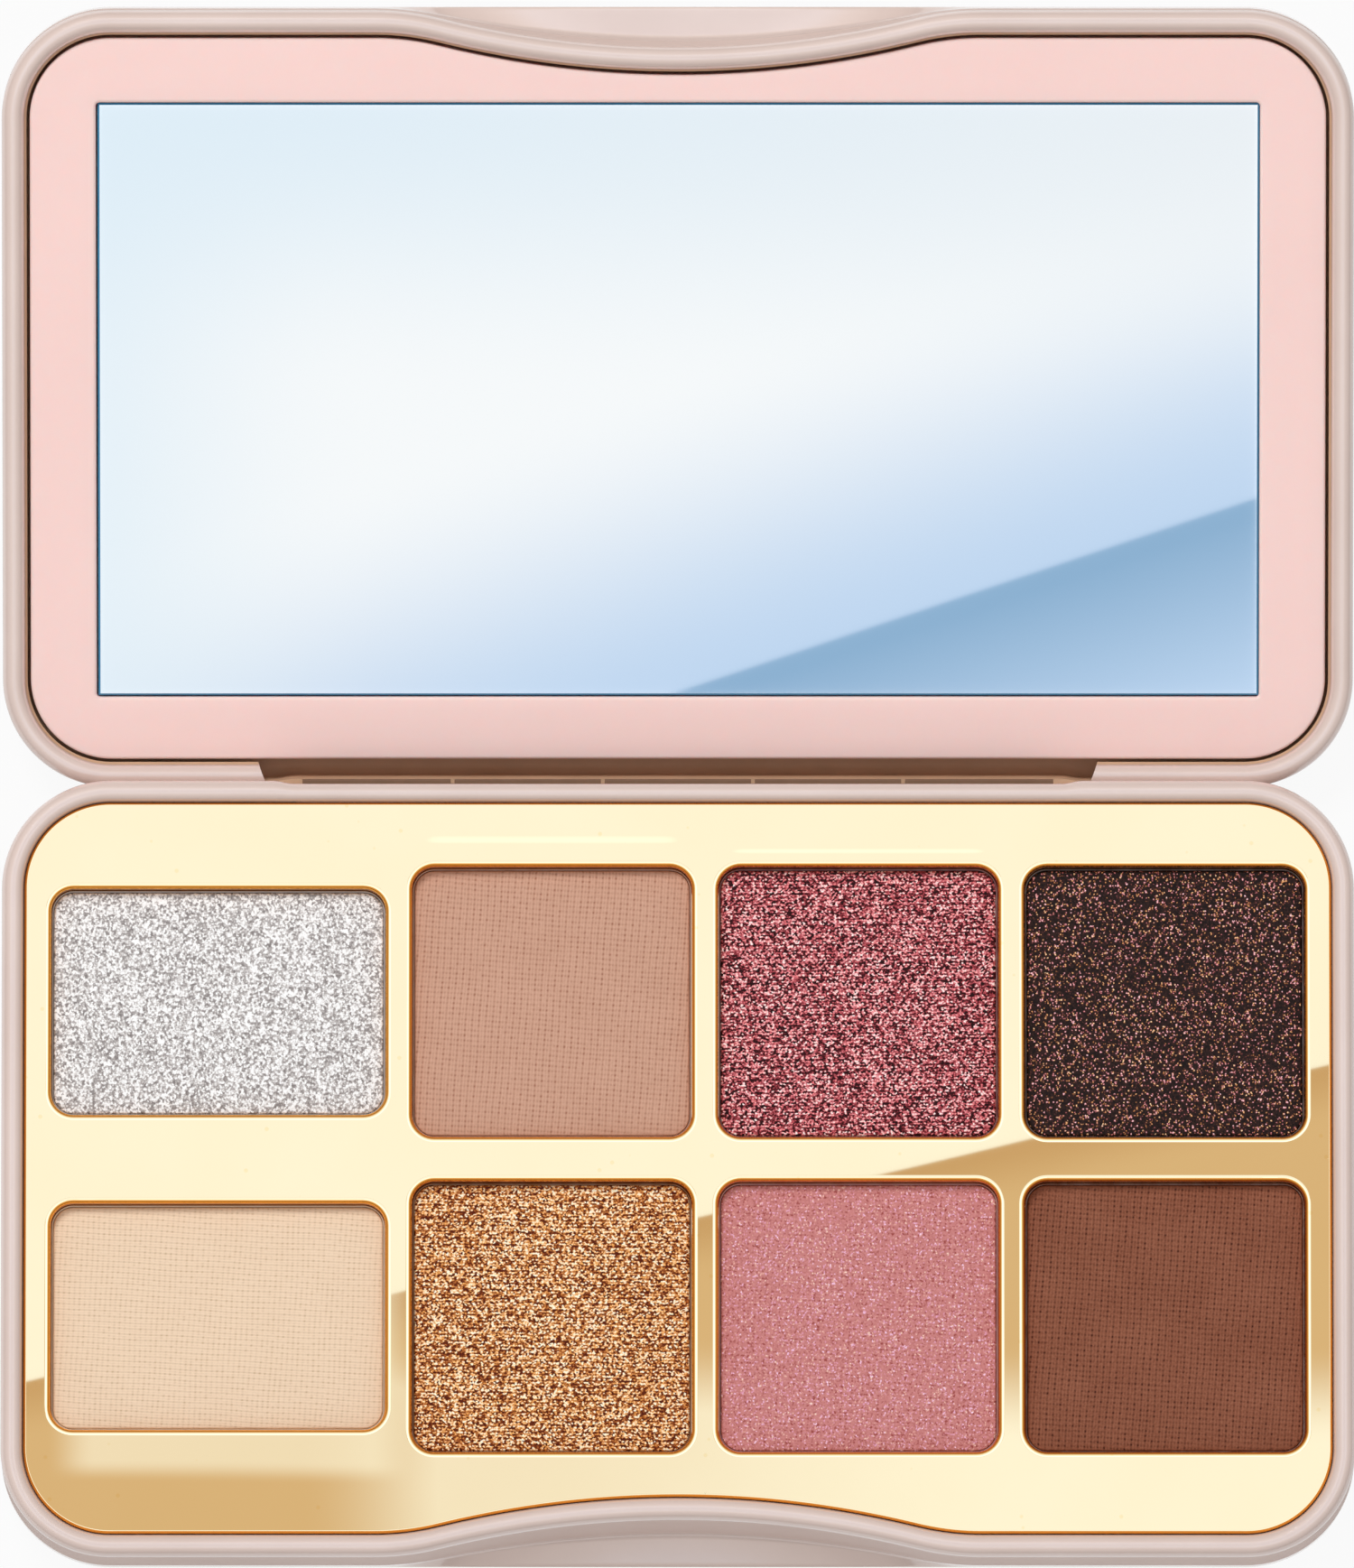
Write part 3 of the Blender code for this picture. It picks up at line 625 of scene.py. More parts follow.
# %% Base shell with its hinge pocket
POCKET_CLEARANCE = 0.00015
POCKET_SHEET = 0.0003
CUT_MARGIN = 0.00005


def mark_bare(piece, low, high, place_points):
    """Give the varnish to the faces whose middles, carried to the box's own frame, lie inside a box."""
    centres = np.empty((len(piece.data.polygons), 3))
    piece.data.polygons.foreach_get("center", centres.ravel())
    centres = place_points(centres)
    marks = np.empty(len(centres), np.int32)
    piece.data.polygons.foreach_get("material_index", marks)
    inside = np.all((centres > low - CUT_MARGIN) & (centres < high + CUT_MARGIN), axis=1)
    piece.data.polygons.foreach_set("material_index", np.where(inside, INNER, marks).astype(np.int32))


def base_shell():
    """Carry the base's section round the tin and press the hinge pocket into its rear wall."""
    piece = shell_mesh("tin_base", *shell_section(base_height), lambda points: points)
    reach = np.array([leaf_high.x + POCKET_CLEARANCE, 0.0, 0.0])
    low = np.array([0.0, leaf_low.y - POCKET_CLEARANCE, leaf_low.z - POCKET_CLEARANCE])
    high = np.array([0.0, half_depth + BEAD_RADIUS, leaf_high.z + POCKET_CLEARANCE])
    wall = half_depth - WALL_PRESS - SHEET / 2
    house_high = np.array([0.0, wall - POCKET_SHEET, leaf_high.z + POCKET_CLEARANCE])
    carve(piece, box_tool(low - reach - POCKET_SHEET, house_high + reach + POCKET_SHEET), "UNION")
    carve(piece, box_tool(low - reach, high + reach), "DIFFERENCE")
    mark_bare(piece, low - reach, high + reach, lambda points: points)
    dress(piece, "base_shell", "taupe_lacquer", *SHELL_FINISHES)


base_shell()

# %% Lid shell with its trimmed rim
CURL_CUT_MARGIN = 0.0022
CURL_CUT_CHAMFER = 0.0007
SEAT_GAP = 0.0001


def turn_lid(points, degrees):
    """Turn points about the hinge axis."""
    pivot = np.array(hinge["pos_m"])
    cos, sin = math.cos(math.radians(degrees)), math.sin(math.radians(degrees))
    turn = np.array([[1, 0, 0], [0, cos, -sin], [0, sin, cos]])
    return (np.asarray(points) - pivot) @ turn.T + pivot


def node_points(node):
    """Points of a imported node."""
    vertices = frame["nodes"][node].data.vertices
    points = np.empty((len(vertices), 3))
    vertices.foreach_get("co", points.ravel())
    return points


shut_turn = hinge["range_deg"][1]
shut_heights = turn_lid(node_points("lid_shell"), shut_turn)[:, 2]
lid_top = shut_heights.max()
lid_height = lid_top - shut_heights.min()


def open_lid(points):
    """Carry points given as heights above the lid's outer face to the open lid."""
    return turn_lid(np.asarray(points) * (1, 1, -1) + (0, 0, lid_top), -shut_turn)


def shut_lid(points):
    """Carry points of the open lid back to heights above its outer face."""
    return (turn_lid(points, shut_turn) - (0, 0, lid_top)) * (1, 1, -1)


def lid_shell():
    """Carry the lid's section round the tin, and trim its rolled rim away along the hinge."""
    piece = shell_mesh("tin_lid", *shell_section(lid_height), open_lid)
    equator = lid_height - BEAD_RADIUS
    wall = half_depth - WALL_PRESS - SHEET - SEAT_GAP
    step = equator - 2 * CURL_TAIL
    y = np.array([half_depth + BEAD_RADIUS] * 2 + [wall] * 2 + [half_depth - 3 * BEAD_RADIUS] * 2)
    height = np.array([lid_height + BEAD_RADIUS, equator, equator, step, step, lid_height + BEAD_RADIUS])
    reach = press_half + CURL_CUT_MARGIN + CURL_CUT_CHAMFER * (half_depth - y) / (2 * BEAD_RADIUS)
    ends = np.stack([np.stack([side * reach, y, height], axis=1) for side in (-1, 1)])
    carve(piece, add_mesh("tool", open_lid(ends), capped_faces(*ends.shape[:2])), "DIFFERENCE")
    low = np.array([-press_half, half_depth - 3 * BEAD_RADIUS, step])
    mark_bare(piece, low, np.array([press_half, half_depth + BEAD_RADIUS, lid_height]), shut_lid)
    dress(piece, "lid_shell", "taupe_lacquer", *SHELL_FINISHES)


lid_shell()
print(f"lid {1000 * lid_height:.1f} mm deep, {1000 * lid_top:.1f} mm over the table when shut")

# %% [markdown]
# ## Plates with wells
#
# The gold tray and the pink frame are the same kind of piece: a plate inside the tin's outline with wells
# in it. A plate is split into cells, one round each well. In a cell, one parameter runs round the well and
# the other runs from the bottom of the well, up its wall, over its lip and out to the cell's border. Cells
# share the points on their borders, so they join without a seam.

# %% Rings of a cell
RING_TURNS = np.array([-90.0, 0.0, 90.0, 180.0])
FRONT_MARGIN = 0.0041


def ring_sides():
    """Outward and along directions of the four sides, front first and anticlockwise."""
    angle = np.radians(RING_TURNS)
    outward = np.stack([np.cos(angle), np.sin(angle)], axis=1).round()
    return outward[:, None, :], np.stack([-outward[:, 1], outward[:, 0]], axis=1)[:, None, :]


def well_ring(centre, half, radius, side, corner):
    """Stations round a well, with so many points a side and so many of them on half a corner at each end."""
    k = np.arange(side)
    along = 2 * np.clip((k - corner) / (side - 2 * corner), 0, 1) - 1
    tilt = 45 * (np.clip(k / corner, 0, 1) - 1 + np.clip((k - side + corner) / corner, 0, 1))
    angle = np.radians(RING_TURNS[:, None] + tilt)
    normals = np.stack([np.cos(angle), np.sin(angle)], axis=-1)
    outward, tangent = ring_sides()
    points = np.asarray(centre) + (np.asarray(half) - radius) * (outward + along[:, None] * tangent)
    return (points + radius * normals).reshape(-1, 2), normals.reshape(-1, 2)


def cell_ring(low, high, side):
    """Points evenly along the four sides of a cell's rectangle."""
    along = 2 * np.arange(side) / side - 1
    outward, tangent = ring_sides()
    low, high = np.asarray(low), np.asarray(high)
    return ((low + high) / 2 + (high - low) / 2 * (outward + along[:, None] * tangent)).reshape(-1, 2)


def to_outline(points, half, radius):
    """Move a plate's border points to its outline, and give their outward directions (zero off the border).

    A border point near a corner goes to the arc at 45 degrees times its share of the corner's run. The
    front follows the scoop, and points behind it are squeezed together over the front margin.
    """
    half = np.asarray(half)
    sign = np.where(points < 0, -1.0, 1.0)
    reach = np.abs(points)
    on_x, on_y = (reach >= half - TOUCH).T
    run = np.clip((reach - half + radius) / radius, 0, 1)
    angle = np.radians(np.where(on_y, 90 - 45 * run[:, 0], 45 * run[:, 1]))
    border = (on_x | on_y)[:, None]
    normals = sign * np.stack([np.cos(angle), np.sin(angle)], axis=1) * border
    moved = np.where(border, sign * np.minimum(reach, half - radius) + radius * normals, points)
    squeeze = np.clip(1 - (moved[:, 1] + half[1]) / FRONT_MARGIN, 0, 1) * (moved[:, 1] < 0)
    moved[:, 1] += SCOOP_DEPTH * scoop(moved[:, 0]) * squeeze
    return moved, normals


# %% Building a plate from its cells


def cell_surfaces(cell, plate):
    """Upper and lower grid of one cell, and a strip of the plate's edge for each side on its border."""
    side, corner = plate["side"], plate["corner"]
    ring, outward = well_ring(cell["centre"], cell["half"], cell["radius"], side, corner)
    border, normals = to_outline(cell_ring(cell["low"], cell["high"], side), plate["half"], plate["radius"])
    spread = plate["spread"][:, None, None]
    lip = plate["lip"]
    near = ring + lip[:, 0, None, None] * outward
    far = (1 - spread) * near[-1] + spread * (border - plate["edge"][0, 0] * normals)
    flat = np.concatenate([near, far])
    height = np.concatenate([lip[:, 1], np.full(len(spread), lip[-1, 1])])[:, None]
    height = height + plate["swell"](flat) * (height > lip[0, 1])
    upper = with_heights(flat, height)
    under = plate["under"]
    brink = border - plate["edge"][-1, 0] * normals
    below = np.concatenate([brink[None], ring + under[:, 0, None, None] * outward])
    lower = with_heights(below, np.concatenate([plate["edge"][-1:, 1], under[:, 1]])[:, None])
    rims = []
    for start in range(0, 4 * side, side):
        pick = np.arange(start, start + side + 1) % (4 * side)
        if np.all(np.abs(normals[pick]).sum(axis=1) > 0):
            edge = border[pick] - plate["edge"][:, 0, None, None] * normals[pick]
            swell = plate["swell"](edge[:1]) * np.linspace(1, 0, len(edge))[:, None]
            rims.append(with_heights(edge, plate["edge"][:, 1, None] + swell))
    return upper, lower, rims


def plate_mesh(name, cells, plate, place_points):
    """Join the cells of a plate into one closed mesh."""
    points, faces, count = [], [], 0
    for cell in cells:
        upper, lower, rims = cell_surfaces(cell, plate)
        for grid, closed in [(upper, True), (lower, True)] + [(rim, False) for rim in rims]:
            rows, columns = grid.shape[:2]
            faces += grid_faces(rows, columns, closed, count).tolist()
            points.append(grid.reshape(-1, 3))
            if grid is upper:
                faces.append(list(range(count, count + columns)))
            if grid is lower:
                faces.append(list(range(count + (rows - 1) * columns, count + rows * columns)))
            count += rows * columns
    return add_mesh(name, place_points(np.concatenate(points)), faces)


# %% [markdown]
# ## The gold tray
#
# The tray is moulded plastic with a bright vacuum-coated gold skin. Its wells have softly rounded lips,
# and the skin is never quite flat, so reflections bend a little. Its level top mirrors the pale ceiling.
# Their deeper orange, which the gold would mirror from other gold, is a painted reflection on steep faces.

# %% Gold
GOLD_LEVEL = ((0.985, 0.82, 0.515, 1.0), (1.0, 0.835, 0.535, 1.0))
GOLD_DUST = (0.95, 0.72, 0.34, 1.0)
# Deeper orange mixed into the gold where a face is steep: a painted reflection of other gold.
GOLD_PAINTED_REFLECTION = (0.985, 0.44, 0.07, 1.0)
DUST_SCALE = 420.0
STEEP_START, STEEP_END = 0.97, 0.91


def gold_finish():
    """Bright gold skin with faint dust, and a painted reflection of deeper orange on steep faces."""
    material, tree, shader, place = new_finish("gold_skin", Metallic=1.0, Roughness=0.008)
    cloud, _ = uneven(tree, place, 90.0, 4000.0)
    speck = add_node(tree, "ShaderNodeTexVoronoi", {"Vector": place, "Scale": DUST_SCALE}).outputs["Distance"]
    dust = stretch(tree, speck, 0.05, 0.09, 0.5, 0.0)
    gold = mix_colours(tree, stretch(tree, cloud, 0.3, 0.7), *GOLD_LEVEL)
    gold = mix_colours(tree, dust, gold, GOLD_DUST)
    facing = add_node(tree, "ShaderNodeTexCoord").outputs["Normal"]
    upward = add_node(tree, "ShaderNodeSeparateXYZ", {0: facing}).outputs["Z"]
    painted_reflection_share = stretch(tree, upward, STEEP_START, STEEP_END)
    plug(tree, mix_colours(tree, painted_reflection_share, gold, GOLD_PAINTED_REFLECTION), shader.inputs["Base Color"])
    return material


GOLD = gold_finish()
print("tray finish:", GOLD.name)

# %% Tray
SHADES = ("silver", "tan", "red", "dark", "cream", "copper", "rose", "brown")
PAN_CLEARANCE = 0.00035
WELL_CORNER = 0.0018
WELL_LIP = 0.00034
SHOULDER = 0.00018
SHOULDER_SLOPE = 12.0
SHOULDER_END = 3.0
SHOULDER_BREAK = 0.000015
TRAY_EDGE = 0.0001
TRAY_SKIRT = 0.00012
SKIRT_SLOPE = 58.0
TRAY_GROWTH = 0.00026
TRAY_DROP = 0.0002
TRAY_PLATE = 0.0007
TRAY_WALL = 0.0007
SWELL_HEIGHT = 0.0000012
SWELL_LENGTH = 0.06
TRAY_SIDE = 56
TRAY_CORNER = 6
TRAY_ROWS = 24
LAST_ROW = 0.997
WELL_LIP_STEPS = 10
SHOULDER_STEPS = 8
TRAY_EDGE_STEPS = 5
FLOOR_BELOW_PAN = 0.0006
# Each ridge: well, side, distance of its top from the well, width towards it, width away from it, height
RIDGES = (
    ("tan", 1, 0.0016, 0.0021, 0.0007, 0.000042),
    ("red", 1, 0.0009, 0.0020, 0.00040, 0.000028),
)
RIDGE_END = 0.0016

_, tray_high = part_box("pan_tray")
tray_half = np.array([tray_high.x, tray_high.y]) + TRAY_GROWTH
tray_top = tray_high.z - TRAY_DROP


def middle_and_half(node):
    """Centre and half sizes of a node seen from above."""
    low, high = (np.array(corner)[:2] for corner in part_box(node))
    return (low + high) / 2, (high - low) / 2


def tray_swell(flat):
    """Swell of the gold skin: two slow crossing waves, and low ridges beside some wells.

    A ridge is h exp(-((d - m) / w)^2) at a distance d from the well's side, with a width for each flank, and
    eases out past its ends.
    """
    x, y = flat[..., 0], flat[..., 1]
    a, b = 2 * math.pi * x / SWELL_LENGTH, 2 * math.pi * y / SWELL_LENGTH
    swell = SWELL_HEIGHT * (np.sin(a + 0.7 * b + 0.4) + np.sin(0.45 * a - 1.2 * b + 1.9))
    for shade, side, middle, inner, outer, height in RIDGES:
        centre, half = middle_and_half(f"pan_{shade}")
        away = np.maximum(side * (y - centre[1]) - half[1] - PAN_CLEARANCE, 0.0)
        beyond = np.maximum(np.abs(x - centre[0]) - half[0] + WELL_CORNER, 0.0)
        ends = np.exp(-(beyond / RIDGE_END) ** 2)
        near = side * (y - centre[1]) > 0
        width = np.where(away < middle, inner, outer)
        swell = swell + height * near * ends * np.exp(-((away - middle) / width) ** 2)
    return swell


def tray_cells():
    """One cell round each well, split half way between neighbouring wells."""
    wells = {shade: middle_and_half(f"pan_{shade}") for shade in SHADES}
    edges = {shade: (c - h - PAN_CLEARANCE, c + h + PAN_CLEARANCE) for shade, (c, h) in wells.items()}
    rows = (SHADES[:4], SHADES[4:])
    tall = [max((edges[shade] for shade in row), key=lambda edge: edge[1][1]) for row in rows]
    between_rows = (tall[0][0][1] + tall[1][1][1]) / 2
    cells = []
    for row, low_y, high_y in ((rows[0], between_rows, tray_half[1]), (rows[1], -tray_half[1], between_rows)):
        splits = [(edges[a][1][0] + edges[b][0][0]) / 2 for a, b in zip(row, row[1:])]
        borders = [-tray_half[0], *splits, tray_half[0]]
        for shade, low_x, high_x in zip(row, borders, borders[1:]):
            centre, half = wells[shade]
            cells.append({"centre": centre, "half": half + PAN_CLEARANCE, "radius": WELL_CORNER,
                          "low": (low_x, low_y), "high": (high_x, high_y)})
    return cells


def well_lip(top):
    """Lip of a well: a small round from its wall to a slope, a parabola that eases the slope, and a break."""
    slope = math.radians(SHOULDER_SLOPE)
    first, last = math.tan(slope), math.tan(math.radians(SHOULDER_END))
    start = top - SHOULDER * (first + last) / 2
    centre = (WELL_LIP, start - WELL_LIP * math.cos(slope))
    rounded = arc(centre, WELL_LIP, 180, 90 + SHOULDER_SLOPE, WELL_LIP_STEPS)
    t = np.linspace(0, 1, SHOULDER_STEPS + 1)[1:, None]
    shoulder = rounded[-1] + SHOULDER * np.hstack([t, first * t + (last - first) * t ** 2 / 2])
    return np.concatenate([rounded, shoulder, shoulder[-1:] + (SHOULDER_BREAK, 0.0)])


def pan_tray():
    """Tray of eight cells: floor, wall, rounded lip, plate and edge, with cups underneath."""
    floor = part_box("pan_tan")[0].z - FLOOR_BELOW_PAN
    slope = math.radians(SKIRT_SLOPE)
    rounded = TRAY_SKIRT + TRAY_EDGE * math.sin(slope)
    edge = arc((rounded, tray_top - TRAY_EDGE), TRAY_EDGE, 90, 90 + SKIRT_SLOPE, TRAY_EDGE_STEPS)
    skirt = [(0.0, edge[-1, 1] - TRAY_SKIRT * math.tan(slope)), (TRAY_GROWTH, tray_top - TRAY_PLATE)]
    plate = {
        "side": TRAY_SIDE, "corner": TRAY_CORNER, "half": tray_half,
        "radius": CORNER_RADIUS - (half_width - tray_half[0]), "swell": tray_swell,
        "lip": np.concatenate([[(0.0, floor)], well_lip(tray_top)]),
        "spread": np.insert(np.linspace(0, 1, TRAY_ROWS + 1)[1:], -1, LAST_ROW),
        "edge": np.concatenate([edge, skirt]),
        "under": np.array([(TRAY_WALL, tray_top - TRAY_PLATE), (TRAY_WALL, floor - TRAY_WALL)]),
    }
    piece = plate_mesh("gold_tray", tray_cells(), plate, lambda points: points)
    dress(piece, "pan_tray", "gold_tray", GOLD)


pan_tray()

# %% [markdown]
# ## The pink frame and the mirror
#
# The frame is a satin moulding that fills the lid, with a square pocket for the mirror. It is a plate with
# a single well, so the same builder makes it. The mirror is plain glass: its silvered face mirrors the
# studio, and its ground edge shows a dark blue line all round.

# %% Pink plastic and mirror glass
SKIN_DEPTH = {"Subsurface_Weight": 0.3, "Subsurface_Radius": (1.0, 0.45, 0.35), "Subsurface_Scale": 0.0012}

PINK = clouded_finish(
    "pink_plastic", (0.912, 0.644, 0.606), (0.952, 0.679, 0.641), clouds=60.0, ripples=9000.0,
    bump=0.08, depth=0.00005, Roughness=0.5, Specular_IOR_Level=0.35, **SKIN_DEPTH)
SILVERED = clouded_finish(
    "mirror_silver", (0.955, 0.97, 0.98), (0.97, 0.98, 0.985), clouds=25.0, ripples=200.0,
    Metallic=1.0, Roughness=0.01)
GLASS_EDGE = clouded_finish(
    "mirror_edge", (0.04, 0.22, 0.40), (0.07, 0.30, 0.50), clouds=500.0, ripples=5000.0,
    bump=0.15, depth=0.00005, Roughness=0.12)
print("lid finishes:", PINK.name, SILVERED.name, GLASS_EDGE.name)

# %% Frame
FRAME_POCKET_CORNER = 0.0003
FRAME_EDGE = 0.00025
POCKET_LIP = 0.0003
MIRROR_GAP = 0.00008
FRAME_SHRINK = 0.00014
LIP_STEPS = 8
EDGE_STEPS = 6
FRAME_SIDE = 256
FRAME_CORNER = 3
FRAME_ROWS = 4


def shut_box(node):
    """Corners of a lid node in the lid's own frame, with heights above the lid's outer face."""
    points = shut_lid(node_points(node))
    return points.min(axis=0), points.max(axis=0)


frame_low, frame_high = shut_box("mirror_frame")
mirror_low, mirror_high = shut_box("mirror")


def mirror_frame():
    """Frame of one cell: pocket floor, pocket wall, small lip, face, rounded edge and back."""
    half = np.array([frame_high[0], frame_high[1]]) - FRAME_SHRINK
    low, high = mirror_low[:2] - MIRROR_GAP, mirror_high[:2] + MIRROR_GAP
    face, back = frame_high[2], frame_low[2]
    floor = shut_box("mirror_tape")[0][2] - SEAT_GAP
    rounded = arc((POCKET_LIP, face - POCKET_LIP), POCKET_LIP, 180, 90, LIP_STEPS)
    edge = arc((FRAME_EDGE, face - FRAME_EDGE), FRAME_EDGE, 90, 180, EDGE_STEPS)
    plate = {
        "side": FRAME_SIDE, "corner": FRAME_CORNER, "half": half,
        "radius": CORNER_RADIUS - (half_width - half[0]),
        "swell": lambda flat: np.zeros(flat.shape[:-1]),
        "lip": np.concatenate([[(0.0, floor)], rounded]),
        "spread": np.linspace(0, 1, FRAME_ROWS + 1)[1:],
        "edge": np.concatenate([edge, [(0.0, back)]]),
        "under": np.array([(0.0, back)]),
    }
    cell = {"centre": (low + high) / 2, "half": (high - low) / 2, "radius": FRAME_POCKET_CORNER,
            "low": -half, "high": half}
    dress(plate_mesh("pink_frame", [cell], plate, open_lid), "mirror_frame", "pink_plastic", PINK)


mirror_frame()

# %% Mirror
MIRROR_SEAM = 0.00016
MIRROR_SHARP = 20.0
MIRROR_SHIFT = np.array([0.00005, -0.00003])


def mirror():
    """Mirror: a ring carried from its back, up its side and over its ground edge to its face."""
    low, high = mirror_low[:2] + MIRROR_SHIFT, mirror_high[:2] + MIRROR_SHIFT
    back, face = mirror_low[2], mirror_high[2]
    section = np.array([(MIRROR_SEAM, back), (0.0, back + MIRROR_SEAM),
                        (0.0, face - MIRROR_SEAM), (MIRROR_SEAM, face)])
    flat = np.stack([cell_ring(low + inset, high - inset, 1) for inset in section[:, 0]])
    points = open_lid(with_heights(flat, section[:, 1:]))
    faces = capped_faces(*flat.shape[:2])
    piece = add_mesh("mirror_plate", points, faces, sharp=MIRROR_SHARP)
    marks = np.ones(len(faces), np.int32)
    marks[-1] = 0
    piece.data.polygons.foreach_set("material_index", marks)
    dress(piece, "mirror", "mirror_glass", SILVERED, GLASS_EDGE)


mirror()

# %% [markdown]
# ## What the shiny faces mirror
#
# In the photograph the tray mirrors a pale ceiling with one slanting tan shape across it, and the mirror
# shows a pale blue sky. Both come from the room, so here they are cards that only reflections see: they
# light nothing and cast no shadow. A flat shiny face shows whatever lies along the camera's mirrored rays,
# so each point of a card is a point of the tray or the mirror, sent along its mirrored ray up to the
# card's height. The card's map keeps the place that each point came from, and its tan edge, its fades and
# its pale strip are drawn in that map.

# %% Cards for the reflections
CARD_HEIGHT = 1.0
CARD_POINTS = 9


def mirrored(points, normal, height):
    """Where the camera's rays to some points of a flat mirror, sent on by its normal, reach a height."""
    ray = points - np.array(camera.location)
    ray = ray - 2 * (ray @ normal)[..., None] * normal
    return points + ray * ((height - points[..., 2:]) / ray[..., 2:])


def add_card(name, points, spots, material):
    """Add a card from a grid of points, with a map that holds a spot for each of them."""
    rows, columns = points.shape[:2]
    card = add_mesh(name, points, grid_faces(rows, columns).tolist(), weld=False)
    corners = np.empty(len(card.data.loops), np.int32)
    card.data.loops.foreach_get("vertex_index", corners)
    layer = card.data.uv_layers.new(name="card")
    layer.data.foreach_set("uv", spots.reshape(-1, 2)[corners].ravel())
    card.data.materials.append(material)
    print(f"{name}: {len(card.data.polygons)} faces at {CARD_HEIGHT:.1f} m")
    for kind in ("camera", "diffuse", "transmission", "volume_scatter", "shadow"):
        setattr(card, f"visible_{kind}", False)


def card_finish(name):
    """Return a card's material, its tree and the two parts of its map."""
    material = bpy.data.materials.new(name)
    material.use_nodes = True
    tree = material.node_tree
    tree.nodes.clear()
    spot = add_node(tree, "ShaderNodeTexCoord").outputs["UV"]
    parts = add_node(tree, "ShaderNodeSeparateXYZ", {0: spot}).outputs
    return material, tree, parts["X"], parts["Y"]


def show_card(tree, colour, cover=None):
    """Give a card its light, and where a cover is given let it fade out."""
    shown = add_node(tree, "ShaderNodeEmission", {"Color": colour, "Strength": 1.0}).outputs[0]
    if cover is not None:
        shown = mix_shaders(tree, cover, add_node(tree, "ShaderNodeBsdfTransparent").outputs[0], shown)
    add_node(tree, "ShaderNodeOutputMaterial", {"Surface": shown})


# %% Tan band in the gold tray
TAN_CARD = (0.70, 0.54, 0.36, 1.0)
TAN_DEEP = (0.60, 0.42, 0.25, 1.0)
DEEP_REACH = 0.005
BAND_MIDDLE, BAND_RISE, BAND_SOFT = -0.0046, 0.243, 0.0002
FOOT_LOW, FOOT_HIGH = -0.0222, -0.0139
FRONT_START, FRONT_END = -0.0130, -0.0300
TINT_START, TINT_END, TINT_SHARE = 0.028, -0.014, 0.28
STRIP_LOW, STRIP_HIGH, STRIP_SHARE = -0.0256, -0.0238, 0.60
STRIP_LEFT, STRIP_RIGHT, STRIP_FADE = -0.0505, -0.0205, 0.004
BAND_REACH = 1.3


def tan_band():
    """Card with a slanting upper edge, a foot that fades out and a pale strip, as places on the tray.

    Its upper edge is y = middle + rise x. The foot fades out over y, and towards the left it fades less.
    """
    material, tree, x, y = card_finish("tan_card")

    def fade(value, low, high, end=1.0):
        """Rise softly from 0 to an end over a range."""
        return stretch(tree, value, low, high, 0.0, end, "SMOOTHSTEP")

    edge = calculate(tree, "MULTIPLY_ADD", x, BAND_RISE, BAND_MIDDLE)
    below = calculate(tree, "SUBTRACT", edge, y)
    cover = calculate(tree, "MAXIMUM", fade(y, FOOT_LOW, FOOT_HIGH), fade(x, FRONT_START, FRONT_END))
    cover = calculate(tree, "MAXIMUM", cover, fade(x, TINT_START, TINT_END, TINT_SHARE))
    cover = calculate(tree, "MULTIPLY", cover, fade(below, 0.0, BAND_SOFT))
    pale = fade(y, STRIP_LOW, STRIP_HIGH, STRIP_SHARE)
    pale = calculate(tree, "MULTIPLY", pale, fade(x, STRIP_LEFT, STRIP_LEFT + STRIP_FADE))
    pale = calculate(tree, "MULTIPLY", pale, fade(x, STRIP_RIGHT, STRIP_RIGHT - STRIP_FADE))
    cover = calculate(tree, "MULTIPLY", cover, calculate(tree, "SUBTRACT", 1.0, pale))
    show_card(tree, mix_colours(tree, fade(below, DEEP_REACH, 0.0), TAN_CARD, TAN_DEEP), cover)
    share = np.linspace(-BAND_REACH, BAND_REACH, CARD_POINTS)
    spots = np.stack(np.meshgrid(*(share * size for size in tray_half)), axis=-1)
    points = mirrored(with_heights(spots, tray_top), np.array([0.0, 0.0, 1.0]), CARD_HEIGHT)
    add_card("tan_card", points, spots, material)


tan_band()

# %% Sky in the mirror
WEDGE_START = 0.49
WEDGE_RISE = 0.657
SKY_PALE = (0.955, 0.970, 0.975, 1.0)
SKY_BLUE = (0.545, 0.695, 0.890, 1.0)
SKY_LEFT = (0.755, 0.870, 0.950, 1.0)
SKY_RIGHT = (0.855, 0.895, 0.925, 1.0)
WEDGE_DEEP = (0.274, 0.450, 0.650, 1.0)
WEDGE_LIGHT = (0.515, 0.675, 0.875, 1.0)
GLOW_LOW, GLOW_HIGH = -0.02, 0.54
TOP_LOW, TOP_HIGH = 0.50, 1.0
LEFT_START, LEFT_END, LEFT_SHARE = 0.24, -0.06, 0.75
WEDGE_LOW, WEDGE_HIGH, WEDGE_SOFT = -0.32, -0.03, 0.003


